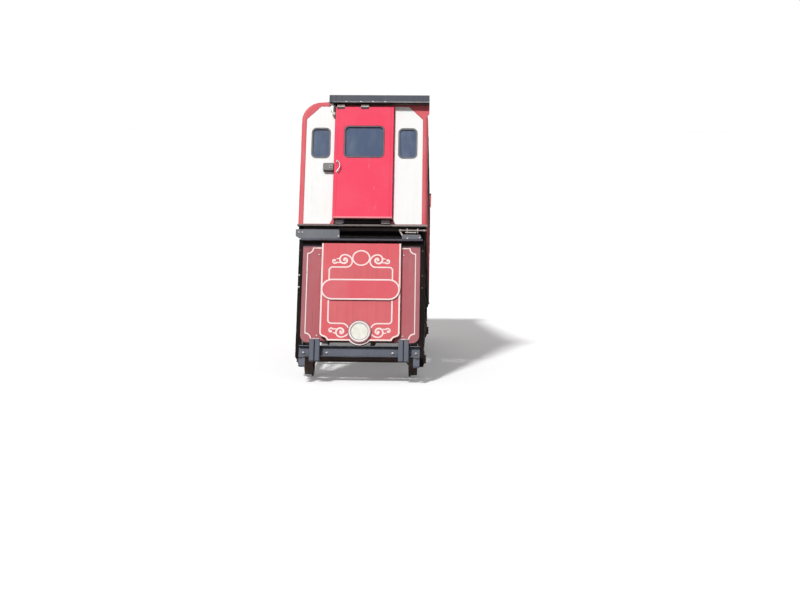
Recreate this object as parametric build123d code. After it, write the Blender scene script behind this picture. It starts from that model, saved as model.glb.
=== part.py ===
from build123d import *
import math
import os

# Frame of the car, in millimetres. +Y points uphill and is level, +X to the right when looking
# uphill, +Z up. The origin lies on the rail tops' plane, midway between the rails and the axles.

# Track and slope
SLOPE = 23.0
GAUGE = 1524.0
WHEELBASE = 3150.0

# Wheelsets
TREAD_R = 250.0
TREAD_W = 100.0
TREAD_TAPER = 2.5
FLANGE_H = 26.0
FLANGE_W = 28.0
FLANGE_LEAN = 3.0
FLANGE_ROOT = 6.0
FLANGE_PLAY = 4.0
RIM_T = 46.0
WHEEL_WEB_T = 26.0
WEB_STEP = 12.0
WHEEL_HOLES = 6
HUB_R = 88.0
HUB_OUT = 24.0
HUB_SHY = 6.0
AXLE_R = 58.0
AXLE_SEAT_R = 68.0
AXLE_TAPER = 20.0
COLLAR_R = 48.0
JOURNAL_R = 42.0
JOURNAL_PLAY = 0.3
JOURNAL_END_PLAY = 2.3
JOURNAL_SHORT = 12.0
WHEEL_TO_BOX = 8.0

# Axle boxes, their guards and rubber springs
BOX_L = 225.0
BOX_ABOVE = 75.0
BOX_BELOW = 82.0
BOX_CORNER_R = 49.2
BOX_W = 100.0
COVER_R = 66.0
COVER_T = 22.0
CAP_LOW_R = 52.0
CAP_TOP_R = 36.0
CAP_T = 10.0
GUARD_T = 20.0
GUARD_W = 70.0
GUARD_FLARE = 30.0
GUARD_FLARE_H = 60.0
SEAT_GAP = 0.3
SPRING_R = 52.0
SPRING_H = 45.0

# Wedge underframe
FRAME_TOP = 1338.0
FRAME_W = 80.0
FRAME_INSIDE = 6.0
FRONT_SETBACK = 10.0
REAR_SETBACK = 50.0
CHORD_H = 120.0
CHANNEL_T = 11.0
POST_D = 90.0
MID_POST_D = 70.0
FIRST_BAY = 1340.0
SECOND_BAY = 1300.0
STRUT_W = 60.0
DIAGONAL_D = 60.0
TUBE = 80.0

# Lower front: top rail, channel beam, buffers and rail guards
RAIL_H = 34.0
RAIL_ROUND = 5.0
RAIL_SHY = 31.0
BEAM_OVER_CHORD = 26.0
BEAM_H = 168.0
BEAM_FLANGE = 60.0
BEAM_T = 12.0
BEAM_SHY = 54.0
BUFFER_IN = 295.0
BUFFER_BAR_W = 73.0
BUFFER_BAR_D = 52.0
BUFFER_SLOT = 10.0
BUFFER_OVER_BEAM = 88.0
BUFFER_H = 340.0
BUFFER_PLATE_T = 14.0
BUFFER_ROUND = 9.0
RAIL_GUARD_IN = 104.0
RAIL_GUARD_W = 92.0
RAIL_GUARD_H = 157.0
RAIL_GUARD_T = 40.0
RAIL_GUARD_LIP = 12.0
RAIL_GUARD_STEP = 14.0
RAIL_GUARD_TOE = 20.0
RAIL_GUARD_ROOT = 30.0

# Front boards
BOARDS_BELOW_TOP = 84.0
BACK_BOARD_DROP = 25.0
BACK_BOARD_SHY = 66.0
BACK_BOARD_OVER_BEAM = 59.0
BACK_BOARD_T = 10.0
BACK_BOARD_CORNER_R = 110.0
CENTRE_BOARD_W = 1204.0
CENTRE_BOARD_OVER_BEAM = 72.0
CENTRE_BOARD_D = 62.0
SHEET_T = 4.0
OGEE = 118.0
OGEE_SWELL = 0.11
LOBE_R = 206.0
PLATE_SHY = 5.0
PLATE_H = 329.0
PLATE_T = 22.0
PLATE_BELOW_TOP = 736.0
PLATE_EDGE = 4.0
MEDAL_RISE = 138.0
MEDAL_R = 179.0
MEDAL_T = 30.0
MEDAL_RIM = 30.0
MEDAL_SUNK = 8.0

# Cabin shell
BODY_W = 1980.0
BODY_L = 4300.0
BODY_LIFT = 240.0
BODY_SIDE_H = 2012.0
CROWN = 52.0
ROOF_CORNER_R = 312.0
ROOF_EDGE_DROP = 350.0
END_EDGE_R = 46.0
WALL = 45.0
RING_W = 78.0
DECK_T = 30.0

# Floor frame and its mounts
SOLE_H = 92.0
SOLE_W = 70.0
SOLE_SHY = 14.0
SOLE_END_SHY = 20.0
SOLE_SHEET = 10.0
BEARER_W = 80.0
MOUNT_FROM_END = 250.0
MOUNT_IN = 160.0
MOUNT_R = 70.0
BOLSTER_W = 120.0
BOLSTER_H = 94.0
BOLSTER_ROUND = 8.0

# End walls
DOORWAY_W = 800.0
DOORWAY_DROP = 110.0
DOOR_POST_W = 66.0
PANEL_DROP = 54.0
PANEL_SILL = 8.0
PANEL_CHAMFER_X = 222.0
PANEL_CHAMFER_Z = 218.0
PANEL_RECESS = 3.0
FLARE = 40.0
WINDOW_DROP = 425.0
WINDOW_R = 70.0
END_WINDOW_H = 490.0
END_WINDOW_MARGIN = 83.0
END_WINDOW_SHIFT = 12.0

# Side walls
SIDE_WINDOWS = 3
SIDE_MARGIN = 200.0
PILLAR_W = 180.0
SIDE_WINDOW_SILL = 795.0

# Window rubber and glass
SEAL_W = 16.0
SEAL_LIP = 10.0
SEAL_LIP_T = 4.0
GLASS_T = 8.0

# Sliding end doors
DOOR_OVERLAP = 56.0
DOOR_T = 45.0
DOOR_SILL = 86.0
DOOR_OVER = 20.0
DOOR_GAP = 20.0
DOOR_ROUND = 8.0
DOOR_GROOVE_IN = 44.0
DOOR_GROOVE_W = 6.0
DOOR_GROOVE_D = 3.0
DOOR_STILE = 150.0
DOOR_WINDOW_H = 516.0
DOOR_WINDOW_UP = 11.0
HANGER_IN = 80.0
HANGER_W = 120.0
HANGER_T = 8.0
HANGER_BELOW = 32.0
HANGER_ABOVE = 20.0
HANGER_CORNER = 24.0
ROLLER_R = 28.0
ROLLER_W = 18.0
ROLLER_OFF = 2.0
PIN_R = 9.0
PIN_OUT = 6.0
FOOT_IN = 98.0
FOOT_W = 126.0
FOOT_T = 6.0
FOOT_UP = 60.0
FOOT_TOE = 20.0
FOOT_TOE_H = 14.0
FOOT_CLEAR = 6.0

# Door track, its cover and the stop at the closing side
TRACK_OVER_DOOR = 56.0
TRACK_T = 10.0
TRACK_LIP = 14.0
TRACK_LIP_T = 10.0
COVER_PAST_DOOR = 100.0
COVER_SPARE = 148.0
COVER_OVER_DOOR = 50.0
COVER_H = 126.0
COVER_D = 132.0
COVER_SHEET = 4.0
COVER_ROUND = 12.0
COVER_LIP = 22.0
STOP_IN = 14.0
STOP_TO_DOOR = 6.0
STOP_D = 75.0
STOP_EDGE = ((10.0, 0.0), (0.0, 94.0), (40.0, 134.0), (30.0, 174.0))
STOP_H = 192.0
GUSSET_T = 12.0
GUSSET_IN = 700.0
GUSSET_BELOW = 127.0
GUSSET_SLANT = 112.0
GUSSET_ABOVE = 90.0

# Handle, lock box and sill
HANDLE_EDGE = 48.0
HANDLE_UP = 928.0
HANDLE_H = 166.0
HANDLE_BOW = 42.0
HANDLE_OUT = 42.0
HANDLE_ROD_R = 8.0
ROSETTE_R = 17.0
ROSETTE_T = 4.0
LOCK_UP = 924.0
LOCK_W = 162.0
LOCK_H = 128.0
LOCK_D = 62.0
LOCK_CORNER_R = 16.0
LOCK_EDGE_R = 8.0
BUTTON_IN = 42.0
BUTTON_R = 27.0
BUTTON_T = 10.0
BUTTON_HOLE_R = 17.0
BUTTON_SUNK = 4.0
SILL_H = 30.0
SILL_D = 18.0
SILL_PAST = 8.0
SILL_ROUND = 6.0

# Apron, shoe plate and release shaft under the lower end
APRON_PAST = 26.0
APRON_W = 675.0
APRON_T = 8.0
APRON_BEHIND = 20.0
APRON_CUT_X = 60.0
APRON_CUT_Z = 40.0
APRON_LEAN = 8.0
APRON_ROUND = 20.0
APRON_FOLD_SHORT = 34.0
APRON_FOLD_IN = 30.0
SHOE_IN = 378.0
SHOE_W = 290.0
SHOE_H = 76.0
SHOE_ROUND = 30.0
SHAFT_FRONT = 8.0
SHAFT_R = 11.0
SHAFT_L = 425.0
SHAFT_SHY = 5.0
SHAFT_COLLARS = (25.0, 130.0, 290.0, 390.0)
SHAFT_COLLAR_R = 19.0
SHAFT_COLLAR_W = 26.0
STRAP_W = 12.0
STRAP_DROP = 42.0
STRAP_FRONT = 9.0
STRAP_UP = 30.0
LINK_PAST = 30.0
LINK_SHORT = 20.0
LINK_H = 16.0
LINK_T = 8.0
LEVER_W = 22.0
LEVER_RISE = 6.0
LEVER_T = 8.0
LEVER_FOOT = 28.0
LEVER_FOOT_W = 24.0
LEVER_FOOT_H = 8.0

# Track brake and haulage lug
BEAM_SLOT = 60.0
JAW_L = 340.0
JAW_T = 32.0
JAW_H = 90.0
JAW_N = 60.0
ARM_T = 30.0
ARM_IN = 50.0
ARM_OUT = 40.0
ARM_KNEE = 60.0
ARM_LAP = 30.0
ARM_HEEL = 20.0
ARM_THROAT = 40.0
CARRIER_X = 165.0
CARRIER_W = 50.0
BRAKE_SPRING_R = 52.0
LUG_T = 40.0
LUG_EYE_R = 25.0
LUG_R = 62.0
LUG_REACH = 70.0
LUG_DROP = 95.0
LUG_BOSS = 18.0
LUG_BOSS_OUT = 12.0

# Saloon
BENCH_FROM_END = 700.0
BENCH_D = 420.0
BENCH_H = 430.0
BENCH_T = 36.0
BENCH_ROUND = 14.0
BACKREST_GAP = 60.0
BACKREST_H = 250.0
BACKREST_T = 30.0
LEG_T = 40.0
LEG_FROM_END = 250.0
LEG_IN = 60.0
LEG_STEM = 50.0
LEG_FOOT_H = 40.0
LEG_HEEL = 40.0
LEG_ARM_H = 40.0
LEG_ARM_SHY = 20.0
LEG_NOSE = 30.0
LEG_NOSE_H = 60.0
GRAB_X = 500.0
GRAB_DROP = 190.0
GRAB_R = 16.0
GRAB_FROM_END = 450.0
GRAB_STUD_R = 12.0
GRAB_STUD_IN = 60.0

# Worked out: slope, wheels and side frames
TAN = math.tan(math.radians(SLOPE))
COS = math.cos(math.radians(SLOPE))
SIN = math.sin(math.radians(SLOPE))
FLANGE_FACE = GAUGE / 2 - FLANGE_PLAY
FLANGE_BACK = FLANGE_FACE - FLANGE_W
TREAD_OUT = FLANGE_FACE + TREAD_W
HUB_BACK = FLANGE_BACK - HUB_OUT
HUB_FRONT = TREAD_OUT - HUB_SHY
BOX_IN = TREAD_OUT + WHEEL_TO_BOX
FRAME_X_OUT = BOX_IN + BOX_W - FRAME_INSIDE
FRAME_X_IN = FRAME_X_OUT - FRAME_W
BOX_MID = FRAME_X_OUT - FRAME_W / 2
STRUT_X = FRAME_X_IN + (FRAME_W - STRUT_W) / 2
CHORD_N = TREAD_R + BOX_ABOVE + SPRING_H
CHORD_TOP_N = CHORD_N + CHORD_H
TUBE_N = CHORD_N + CHORD_H / 2
CHORD_BOTTOM = FRAME_TOP - CHORD_H

# Worked out: cabin
HALF_W = BODY_W / 2
HALF_L = BODY_L / 2
INNER_W = HALF_W - WALL
INNER_L = HALF_L - WALL
RING_Y = HALF_L - RING_W
BODY_BOTTOM = FRAME_TOP + BODY_LIFT
DECK_TOP = BODY_BOTTOM + DECK_T
EAVES_Z = BODY_BOTTOM + BODY_SIDE_H
SIDE_WALL_TOP = EAVES_Z - ROOF_EDGE_DROP
SOLE_BOTTOM = BODY_BOTTOM - SOLE_H
SOLE_OUT = HALF_W - SOLE_SHY
SOLE_END = HALF_L - SOLE_END_SHY
SILL_TOP = BODY_BOTTOM
BOLSTER_TOP = FRAME_TOP + BOLSTER_H
MOUNT_X = FRAME_X_OUT - MOUNT_IN
MOUNT_Y = HALF_L - MOUNT_FROM_END

# Worked out: windows and doors
DOORWAY_TOP = EAVES_Z - DOORWAY_DROP
POST_IN = DOORWAY_W / 2 + DOOR_POST_W
PANEL_OUT = HALF_W - RING_W
PANEL_TOP = EAVES_Z - PANEL_DROP
PANEL_BOTTOM = BODY_BOTTOM + PANEL_SILL
WINDOW_TOP = EAVES_Z - WINDOW_DROP
END_WINDOW_W = PANEL_OUT - POST_IN - 2 * END_WINDOW_MARGIN
END_WINDOW_X = (POST_IN + PANEL_OUT) / 2 - END_WINDOW_SHIFT
SIDE_BAY = (BODY_L - 2 * SIDE_MARGIN) / SIDE_WINDOWS
SIDE_WINDOW_W = SIDE_BAY - PILLAR_W
SIDE_WINDOW_H = WINDOW_TOP - DECK_TOP - SIDE_WINDOW_SILL
DOOR_W = DOORWAY_W + 2 * DOOR_OVERLAP
DOOR_TRAVEL = DOORWAY_W
DOOR_BOTTOM = BODY_BOTTOM + DOOR_SILL
DOOR_TOP = DOORWAY_TOP + DOOR_OVER
DOOR_BACK = -HALF_L - DOOR_GAP
DOOR_FRONT = DOOR_BACK - DOOR_T
DOOR_WINDOW_W = DOOR_W - 2 * DOOR_STILE
DOOR_WINDOW_TOP = WINDOW_TOP + DOOR_WINDOW_UP
HANGERS_X = (HANGER_IN - DOOR_W / 2, 0.0)
FEET_X = (FOOT_IN - DOOR_W / 2, DOOR_W / 2 - FOOT_IN)
TRACK_Z = DOOR_TOP + TRACK_OVER_DOOR
TRACK_LIP_TOP = TRACK_Z + TRACK_T + TRACK_LIP
ROLLER_Z = TRACK_LIP_TOP + SEAT_GAP + ROLLER_R
ROLLER_Y = DOOR_FRONT + ROLLER_W / 2 + ROLLER_OFF
COVER_LEFT = -DOOR_W / 2 - COVER_PAST_DOOR
COVER_RIGHT = HANGERS_X[-1] + HANGER_W / 2 + DOOR_TRAVEL + COVER_SPARE
COVER_BOTTOM = DOOR_TOP + COVER_OVER_DOOR
GUSSET_TOP = COVER_BOTTOM + GUSSET_ABOVE
GUSSET_CORNER = COVER_BOTTOM - GUSSET_BELOW
GUSSET_LOW = GUSSET_CORNER - GUSSET_SLANT
HANDLE_X = HANDLE_EDGE - DOOR_W / 2
HANDLE_Z = BODY_BOTTOM + HANDLE_UP
LOCK_X = -POST_IN - LOCK_W / 2
LOCK_Z = BODY_BOTTOM + LOCK_UP

# Worked out: front of the wedge
FRAME_FRONT = FRONT_SETBACK - HALF_L
FRAME_REAR = HALF_L - REAR_SETBACK
POST_BACK = FRAME_FRONT + POST_D
MID_POSTS_Y = (FRAME_FRONT + FIRST_BAY, FRAME_FRONT + FIRST_BAY + SECOND_BAY)
BEAM_FRONT = FRAME_FRONT - BEAM_FLANGE
BEAM_TOP = FRAME_FRONT * TAN + CHORD_TOP_N / COS + BEAM_OVER_CHORD
BEAM_BOTTOM = BEAM_TOP - BEAM_H
BEAM_HALF_W = FRAME_X_OUT - BEAM_SHY
RAIL_HALF_W = FRAME_X_OUT - RAIL_SHY
BUFFER_X = FRAME_X_OUT - BUFFER_IN
BUFFER_TOP = BEAM_TOP + BUFFER_OVER_BEAM
RAIL_GUARD_X = FRAME_X_OUT - RAIL_GUARD_IN
BOARD_TOP = FRAME_TOP - BOARDS_BELOW_TOP
BACK_BOARD_HALF_W = FRAME_X_OUT - BACK_BOARD_SHY
BACK_BOARD_BOTTOM = BEAM_TOP + BACK_BOARD_OVER_BEAM
BACK_BOARD_TOP = BOARD_TOP - BACK_BOARD_DROP
BOARD_BACK = FRAME_FRONT - BACK_BOARD_T
BOARD_FRONT = BOARD_BACK - CENTRE_BOARD_D
CENTRE_BOARD_BOTTOM = BEAM_TOP + CENTRE_BOARD_OVER_BEAM
PLATE_W = CENTRE_BOARD_W - 2 * PLATE_SHY
PLATE_Z = BOARD_TOP - PLATE_BELOW_TOP
MEDAL_Z = CENTRE_BOARD_BOTTOM + MEDAL_RISE
APRON_LEFT = -HALF_W - APRON_PAST
APRON_RIGHT = APRON_LEFT + APRON_W
APRON_FRONT = BEAM_FRONT + APRON_BEHIND
SHOE_LEFT = HALF_W - SHOE_IN
SHAFT_RIGHT = HALF_W - SHAFT_SHY
SHAFT_LEFT = SHAFT_RIGHT - SHAFT_L
SHAFT_Y = -HALF_L - SHAFT_FRONT
SHAFT_Z = SOLE_BOTTOM

# Worked out: saloon
BENCH_HALF_L = HALF_L - BENCH_FROM_END
BENCH_TOP = DECK_TOP + BENCH_H
BENCH_FRONT = INNER_W - BENCH_D
LEG_Y = BENCH_HALF_L - LEG_FROM_END
GRAB_HALF_L = HALF_L - GRAB_FROM_END
GRAB_Z = EAVES_Z + CROWN - WALL - GRAB_DROP

ALONG_X = Rot(0, 90, 0)
ALONG_Y = Rot(90, 0, 0)


def limits(x, y, z):
    """Box between two limits on each axis."""
    size = [high - low for low, high in (x, y, z)]
    centre = [(low + high) / 2 for low, high in (x, y, z)]
    return Pos(*centre) * Box(*size)


def rod(x, y, z, way, radius, length):
    """Round bar with its middle at the point."""
    return Pos(x, y, z) * way * Cylinder(radius, length)


def across(sketch, x_low, width):
    """Outline drawn in Y and Z, extruded towards +X."""
    return Pos(x_low, 0, 0) * extrude(Plane.YZ * sketch, width)


def facing(sketch, y_back, thickness):
    """Outline drawn in X and Z, extruded from y_back towards the lower end."""
    return Pos(0, y_back, 0) * extrude(Plane.XZ * sketch, thickness)


def polygon(*points):
    return make_face(Polyline(*points, close=True))


def mirrored(part):
    """The same piece on the car's other side."""
    return mirror(part, Plane.YZ)


def both_sides(part):
    return [part, mirrored(part)]


def other_end(part):
    """The same piece at the car's other end, on the same side."""
    return mirror(part, Plane.XZ)


def on_slope(part):
    """Turns a piece drawn along the rails, with +Z square to them, into the car's frame."""
    return Rot(SLOPE, 0, 0) * part


def fused(*pieces):
    whole = pieces[0]
    for piece in pieces[1:]:
        whole = whole + piece
    return whole


def chord_top(y):
    """Height of the inclined chord's top at y."""
    return y * TAN + CHORD_TOP_N / COS


def along_slope(y, n):
    """Distance along the rails of the point at y, n above the rails."""
    return (y + n * SIN) / COS


nodes = {}


def node(name, *pieces):
    nodes[name] = pieces[0] if len(pieces) == 1 else Compound(list(pieces))


# Wheelsets: axle with two flanged wheels, turned as one
def wheel():
    rim_in = TREAD_R - RIM_T
    web_mid = (FLANGE_BACK + TREAD_OUT) / 2
    web_in = web_mid - WHEEL_WEB_T / 2
    web_out = web_mid + WHEEL_WEB_T / 2
    tip = TREAD_R + FLANGE_H
    shoulder = tip - FLANGE_W / 2
    lean = FLANGE_FACE - FLANGE_LEAN
    crest = ThreePointArc((FLANGE_BACK, shoulder), (FLANGE_BACK + FLANGE_W / 2, tip), (lean, shoulder))
    outline = Polyline(
        (lean, shoulder), (FLANGE_FACE + FLANGE_ROOT, TREAD_R + TREAD_TAPER),
        (TREAD_OUT, TREAD_R - TREAD_TAPER), (TREAD_OUT, rim_in), (web_out, rim_in - WEB_STEP),
        (web_out, HUB_R + WEB_STEP), (HUB_FRONT, HUB_R), (HUB_FRONT, 0), (HUB_BACK, 0), (HUB_BACK, HUB_R),
        (web_in, HUB_R + WEB_STEP), (web_in, rim_in - WEB_STEP), (FLANGE_BACK, rim_in),
        (FLANGE_BACK, shoulder))
    disc = revolve(make_face([crest, *outline.edges()]), Axis.X)
    hole_r = (rim_in - HUB_R) / 4
    hole = rod(web_mid, 0, (rim_in + HUB_R) / 2, ALONG_X, hole_r, WHEEL_WEB_T * 2)
    for turn in range(WHEEL_HOLES):
        disc = disc - Rot(turn * 360 / WHEEL_HOLES, 0, 0) * hole
    return disc


def half_axle():
    journal_end = BOX_IN + BOX_W - JOURNAL_SHORT
    outline = polygon(
        (0, 0), (0, AXLE_R), (HUB_BACK - AXLE_TAPER, AXLE_R), (HUB_BACK, AXLE_SEAT_R),
        (HUB_FRONT, AXLE_SEAT_R), (HUB_FRONT, COLLAR_R), (HUB_FRONT + WHEEL_TO_BOX, JOURNAL_R),
        (journal_end, JOURNAL_R), (journal_end, 0))
    return revolve(outline, Axis.X)


AXLES_S = {"lower": -WHEELBASE / 2, "upper": WHEELBASE / 2}
half_wheelset = wheel() + half_axle()
wheelset = half_wheelset + mirrored(half_wheelset)
for end, s in AXLES_S.items():
    node(f"{end}_wheelset", on_slope(Pos(0, s, TREAD_R) * wheelset))


# Axle boxes with blind bearing bores, rubber springs above and U-shaped guards around them
def axle_box(s):
    half = BOX_L / 2
    low = TREAD_R - BOX_BELOW
    high = TREAD_R + BOX_ABOVE
    housing = polygon((s - half, low), (s + half, low), (s + half, high), (s - half, high))
    housing = fillet(housing.vertices().sort_by(Axis.Y)[:2], BOX_CORNER_R)
    box_out = BOX_IN + BOX_W
    cover = rod(box_out + COVER_T / 2, s, TREAD_R, ALONG_X, COVER_R, COVER_T)
    cap = Pos(box_out + COVER_T, s, TREAD_R) * ALONG_X * Cone(CAP_LOW_R, CAP_TOP_R, CAP_T)
    bore_l = BOX_W - JOURNAL_SHORT + JOURNAL_END_PLAY
    bore = rod(BOX_IN, s, TREAD_R, ALONG_X, JOURNAL_R + JOURNAL_PLAY, 2 * bore_l)
    return across(housing, BOX_IN, BOX_W) + cover + cap - bore


def axle_guard(s):
    inner = BOX_L / 2 + SEAT_GAP
    outer = inner + GUARD_T
    seat = TREAD_R - BOX_BELOW - SEAT_GAP
    low = seat - GUARD_T
    neck = CHORD_N - GUARD_FLARE_H
    wide = outer + GUARD_FLARE
    outline = polygon((s - wide, CHORD_N), (s - outer, neck), (s - outer, low), (s + outer, low),
                      (s + outer, neck), (s + wide, CHORD_N), (s + inner, CHORD_N), (s + inner, seat),
                      (s - inner, seat), (s - inner, CHORD_N))
    return across(outline, BOX_MID - GUARD_W / 2, GUARD_W)


boxes = []
guards = []
springs = []
for s in AXLES_S.values():
    boxes += both_sides(on_slope(axle_box(s)))
    guards += both_sides(on_slope(axle_guard(s)))
    pad = Pos(BOX_MID, s, CHORD_N - SPRING_H / 2) * Cylinder(SPRING_R, SPRING_H)
    springs += both_sides(on_slope(pad))
node("axle_boxes", *boxes)
node("axle_guards", *guards)
node("axle_springs", *springs)


# Wedge side frames: channels with the web inside and the flanges towards the outside
def channel(y, z):
    """Channel member filling the given Y and Z limits; the longer way is its length."""
    x = (FRAME_X_IN, FRAME_X_OUT)
    web = limits((FRAME_X_IN, FRAME_X_IN + CHANNEL_T), y, z)
    if y[1] - y[0] < z[1] - z[0]:
        low = limits(x, (y[0], y[0] + CHANNEL_T), z)
        high = limits(x, (y[1] - CHANNEL_T, y[1]), z)
    else:
        low = limits(x, y, (z[0], z[0] + CHANNEL_T))
        high = limits(x, y, (z[1] - CHANNEL_T, z[1]))
    return web + low + high


top_chord = channel((POST_BACK, FRAME_REAR), (CHORD_BOTTOM, FRAME_TOP))
end_plate = limits((FRAME_X_IN + CHANNEL_T, FRAME_X_OUT), (FRAME_REAR - CHANNEL_T, FRAME_REAR),
                   (CHORD_BOTTOM + CHANNEL_T, FRAME_TOP - CHANNEL_T))
node("top_chords", *both_sides(top_chord + end_plate))

front_post = channel((FRAME_FRONT, POST_BACK), (BEAM_BOTTOM, FRAME_TOP))
node("front_posts", *both_sides(front_post))

long_chord = on_slope(channel((-WHEELBASE, WHEELBASE), (CHORD_N, CHORD_TOP_N)))
wedge_room = limits((0, 2 * FRAME_X_OUT), (POST_BACK, FRAME_REAR), (BEAM_BOTTOM - BEAM_H, CHORD_BOTTOM))
node("inclined_chords", *both_sides(long_chord & wedge_room))


def bay(front, back):
    """Outline between two lines across the wedge, from the inclined chord to the top chord."""
    return polygon((front, CHORD_BOTTOM), (front, chord_top(front)), (back, chord_top(back)),
                   (back, CHORD_BOTTOM))


def diagonal(front, back):
    """Strut from the bay's lower front corner to its upper back corner, trimmed to the bay."""
    low = Vector(front, chord_top(front))
    high = Vector(back, CHORD_BOTTOM)
    run = high - low
    tilt = math.degrees(math.atan2(run.Y, run.X))
    middle = (low + high) / 2
    band = Pos(middle.X, middle.Y) * Rot(0, 0, tilt) * Rectangle(run.length * 1.2, DIAGONAL_D)
    return band & bay(front, back)


HALF_MID_POST = MID_POST_D / 2
uprights = []
struts = []
front = POST_BACK
for y in MID_POSTS_Y:
    uprights += both_sides(across(bay(y - HALF_MID_POST, y + HALF_MID_POST), STRUT_X, STRUT_W))
    struts += both_sides(across(diagonal(front, y - HALF_MID_POST), STRUT_X, STRUT_W))
    front = y + HALF_MID_POST
node("frame_uprights", *uprights)
node("frame_diagonals", *struts)

# Cross tubes between the two side frames
HALF_TUBE = TUBE / 2
between = (-FRAME_X_IN, FRAME_X_IN)
tube_z = FRAME_TOP - CHORD_H / 2
rear_tube_y = FRAME_REAR - HALF_TUBE
cross = []
for y in (FRAME_FRONT + POST_D / 2, *MID_POSTS_Y, rear_tube_y):
    cross.append(limits(between, (y - HALF_TUBE, y + HALF_TUBE), (tube_z - HALF_TUBE, tube_z + HALF_TUBE)))
LOW_TUBES_S = [along_slope(y, TUBE_N) for y in MID_POSTS_Y]
for s in LOW_TUBES_S:
    tube = limits(between, (s - HALF_TUBE, s + HALF_TUBE), (TUBE_N - HALF_TUBE, TUBE_N + HALF_TUBE))
    cross.append(on_slope(tube))
node("cross_members", *cross)

# Front top rail and channel beam, both proud of the posts
rail_x = (-RAIL_HALF_W, RAIL_HALF_W)
top_rail = limits(rail_x, (BEAM_FRONT, FRAME_FRONT), (FRAME_TOP - RAIL_H, FRAME_TOP))
top_rail = fillet(top_rail.edges().filter_by(Axis.X), RAIL_ROUND)
beam_web = FRAME_FRONT - BEAM_T
beam_outline = polygon(
    (FRAME_FRONT, BEAM_BOTTOM), (BEAM_FRONT, BEAM_BOTTOM), (BEAM_FRONT, BEAM_BOTTOM + BEAM_T),
    (beam_web, BEAM_BOTTOM + BEAM_T), (beam_web, BEAM_TOP - BEAM_T), (BEAM_FRONT, BEAM_TOP - BEAM_T),
    (BEAM_FRONT, BEAM_TOP), (FRAME_FRONT, BEAM_TOP))
node("front_beams", top_rail, across(beam_outline, -BEAM_HALF_W, 2 * BEAM_HALF_W))

# Buffers: two bars on a plate, a pair on each side
plate_front = BEAM_FRONT - BUFFER_PLATE_T
buffer_half = BUFFER_BAR_W + BUFFER_SLOT / 2
buffer_z = (BUFFER_TOP - BUFFER_H, BUFFER_TOP)
backing = limits((BUFFER_X - buffer_half, BUFFER_X + buffer_half), (plate_front, BEAM_FRONT), buffer_z)
bars = []
for side in (-1, 1):
    mid = BUFFER_X + side * (BUFFER_BAR_W + BUFFER_SLOT) / 2
    bar_x = (mid - BUFFER_BAR_W / 2, mid + BUFFER_BAR_W / 2)
    bar = limits(bar_x, (plate_front - BUFFER_BAR_D, plate_front), buffer_z)
    bars.append(fillet(bar.faces().sort_by(Axis.Y)[0].edges(), BUFFER_ROUND))
node("buffers", *both_sides(fused(backing, *bars)))

# Rail guards under the beam's ends
guard_low = BEAM_BOTTOM - RAIL_GUARD_H
stepped = BEAM_FRONT + RAIL_GUARD_STEP
blade = polygon(
    (FRAME_FRONT, BEAM_BOTTOM), (BEAM_FRONT, BEAM_BOTTOM), (BEAM_FRONT, BEAM_BOTTOM - RAIL_GUARD_LIP),
    (stepped, BEAM_BOTTOM - 2 * RAIL_GUARD_LIP), (stepped - RAIL_GUARD_TOE / 2, guard_low + RAIL_GUARD_TOE),
    (stepped, guard_low), (BEAM_FRONT + RAIL_GUARD_T, guard_low),
    (FRAME_FRONT, BEAM_BOTTOM - RAIL_GUARD_ROOT))
node("rail_guards", *both_sides(across(blade, RAIL_GUARD_X - RAIL_GUARD_W / 2, RAIL_GUARD_W)))


# Boards on the wedge's front
def ogee_corner(x, z, size):
    """S-shaped corner from the side at (x, z + size) to the bottom at (x - size, z)."""
    start = Vector(x, z + size)
    end = Vector(x - size, z)
    middle = (start + end) / 2
    out = Vector(1, -1).normalized() * size * OGEE_SWELL
    first = ThreePointArc(start, (start + middle) / 2 + out, middle)
    second = ThreePointArc(middle, (middle + end) / 2 - out, end)
    return [first, second]


back_face = polygon((-BACK_BOARD_HALF_W, BACK_BOARD_BOTTOM), (BACK_BOARD_HALF_W, BACK_BOARD_BOTTOM),
                    (BACK_BOARD_HALF_W, BACK_BOARD_TOP), (-BACK_BOARD_HALF_W, BACK_BOARD_TOP))
back_face = fillet(back_face.vertices().sort_by(Axis.Y)[:2], BACK_BOARD_CORNER_R)
node("sign_back_board", facing(back_face, FRAME_FRONT, BACK_BOARD_T))


def centre_outline(inset):
    half = CENTRE_BOARD_W / 2 - inset
    top = BOARD_TOP - inset
    low = CENTRE_BOARD_BOTTOM + inset
    lobe_r = LOBE_R - inset
    lobe_half = math.sqrt(lobe_r ** 2 - (MEDAL_Z - low) ** 2)
    right = ogee_corner(half, low, OGEE)
    left = [mirror(edge, Plane.YZ) for edge in reversed(right)]
    edges = [
        Line((-half, top), (half, top)),
        Line((half, top), (half, low + OGEE)), *right,
        Line((half - OGEE, low), (lobe_half, low)),
        ThreePointArc((lobe_half, low), (0, MEDAL_Z - lobe_r), (-lobe_half, low)),
        Line((-lobe_half, low), (-half + OGEE, low)), *left,
        Line((-half, low + OGEE), (-half, top)),
    ]
    return make_face(edges)


tray = facing(centre_outline(0), BOARD_BACK, CENTRE_BOARD_D)
hollow = facing(centre_outline(SHEET_T), BOARD_BACK, CENTRE_BOARD_D - SHEET_T)
node("sign_centre_board", tray - hollow)

name_plate = facing(Pos(0, PLATE_Z) * SlotOverall(PLATE_W, PLATE_H), BOARD_FRONT, PLATE_T)
node("name_plate", chamfer(name_plate.faces().sort_by(Axis.Y)[0].edges(), PLATE_EDGE))

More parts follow.
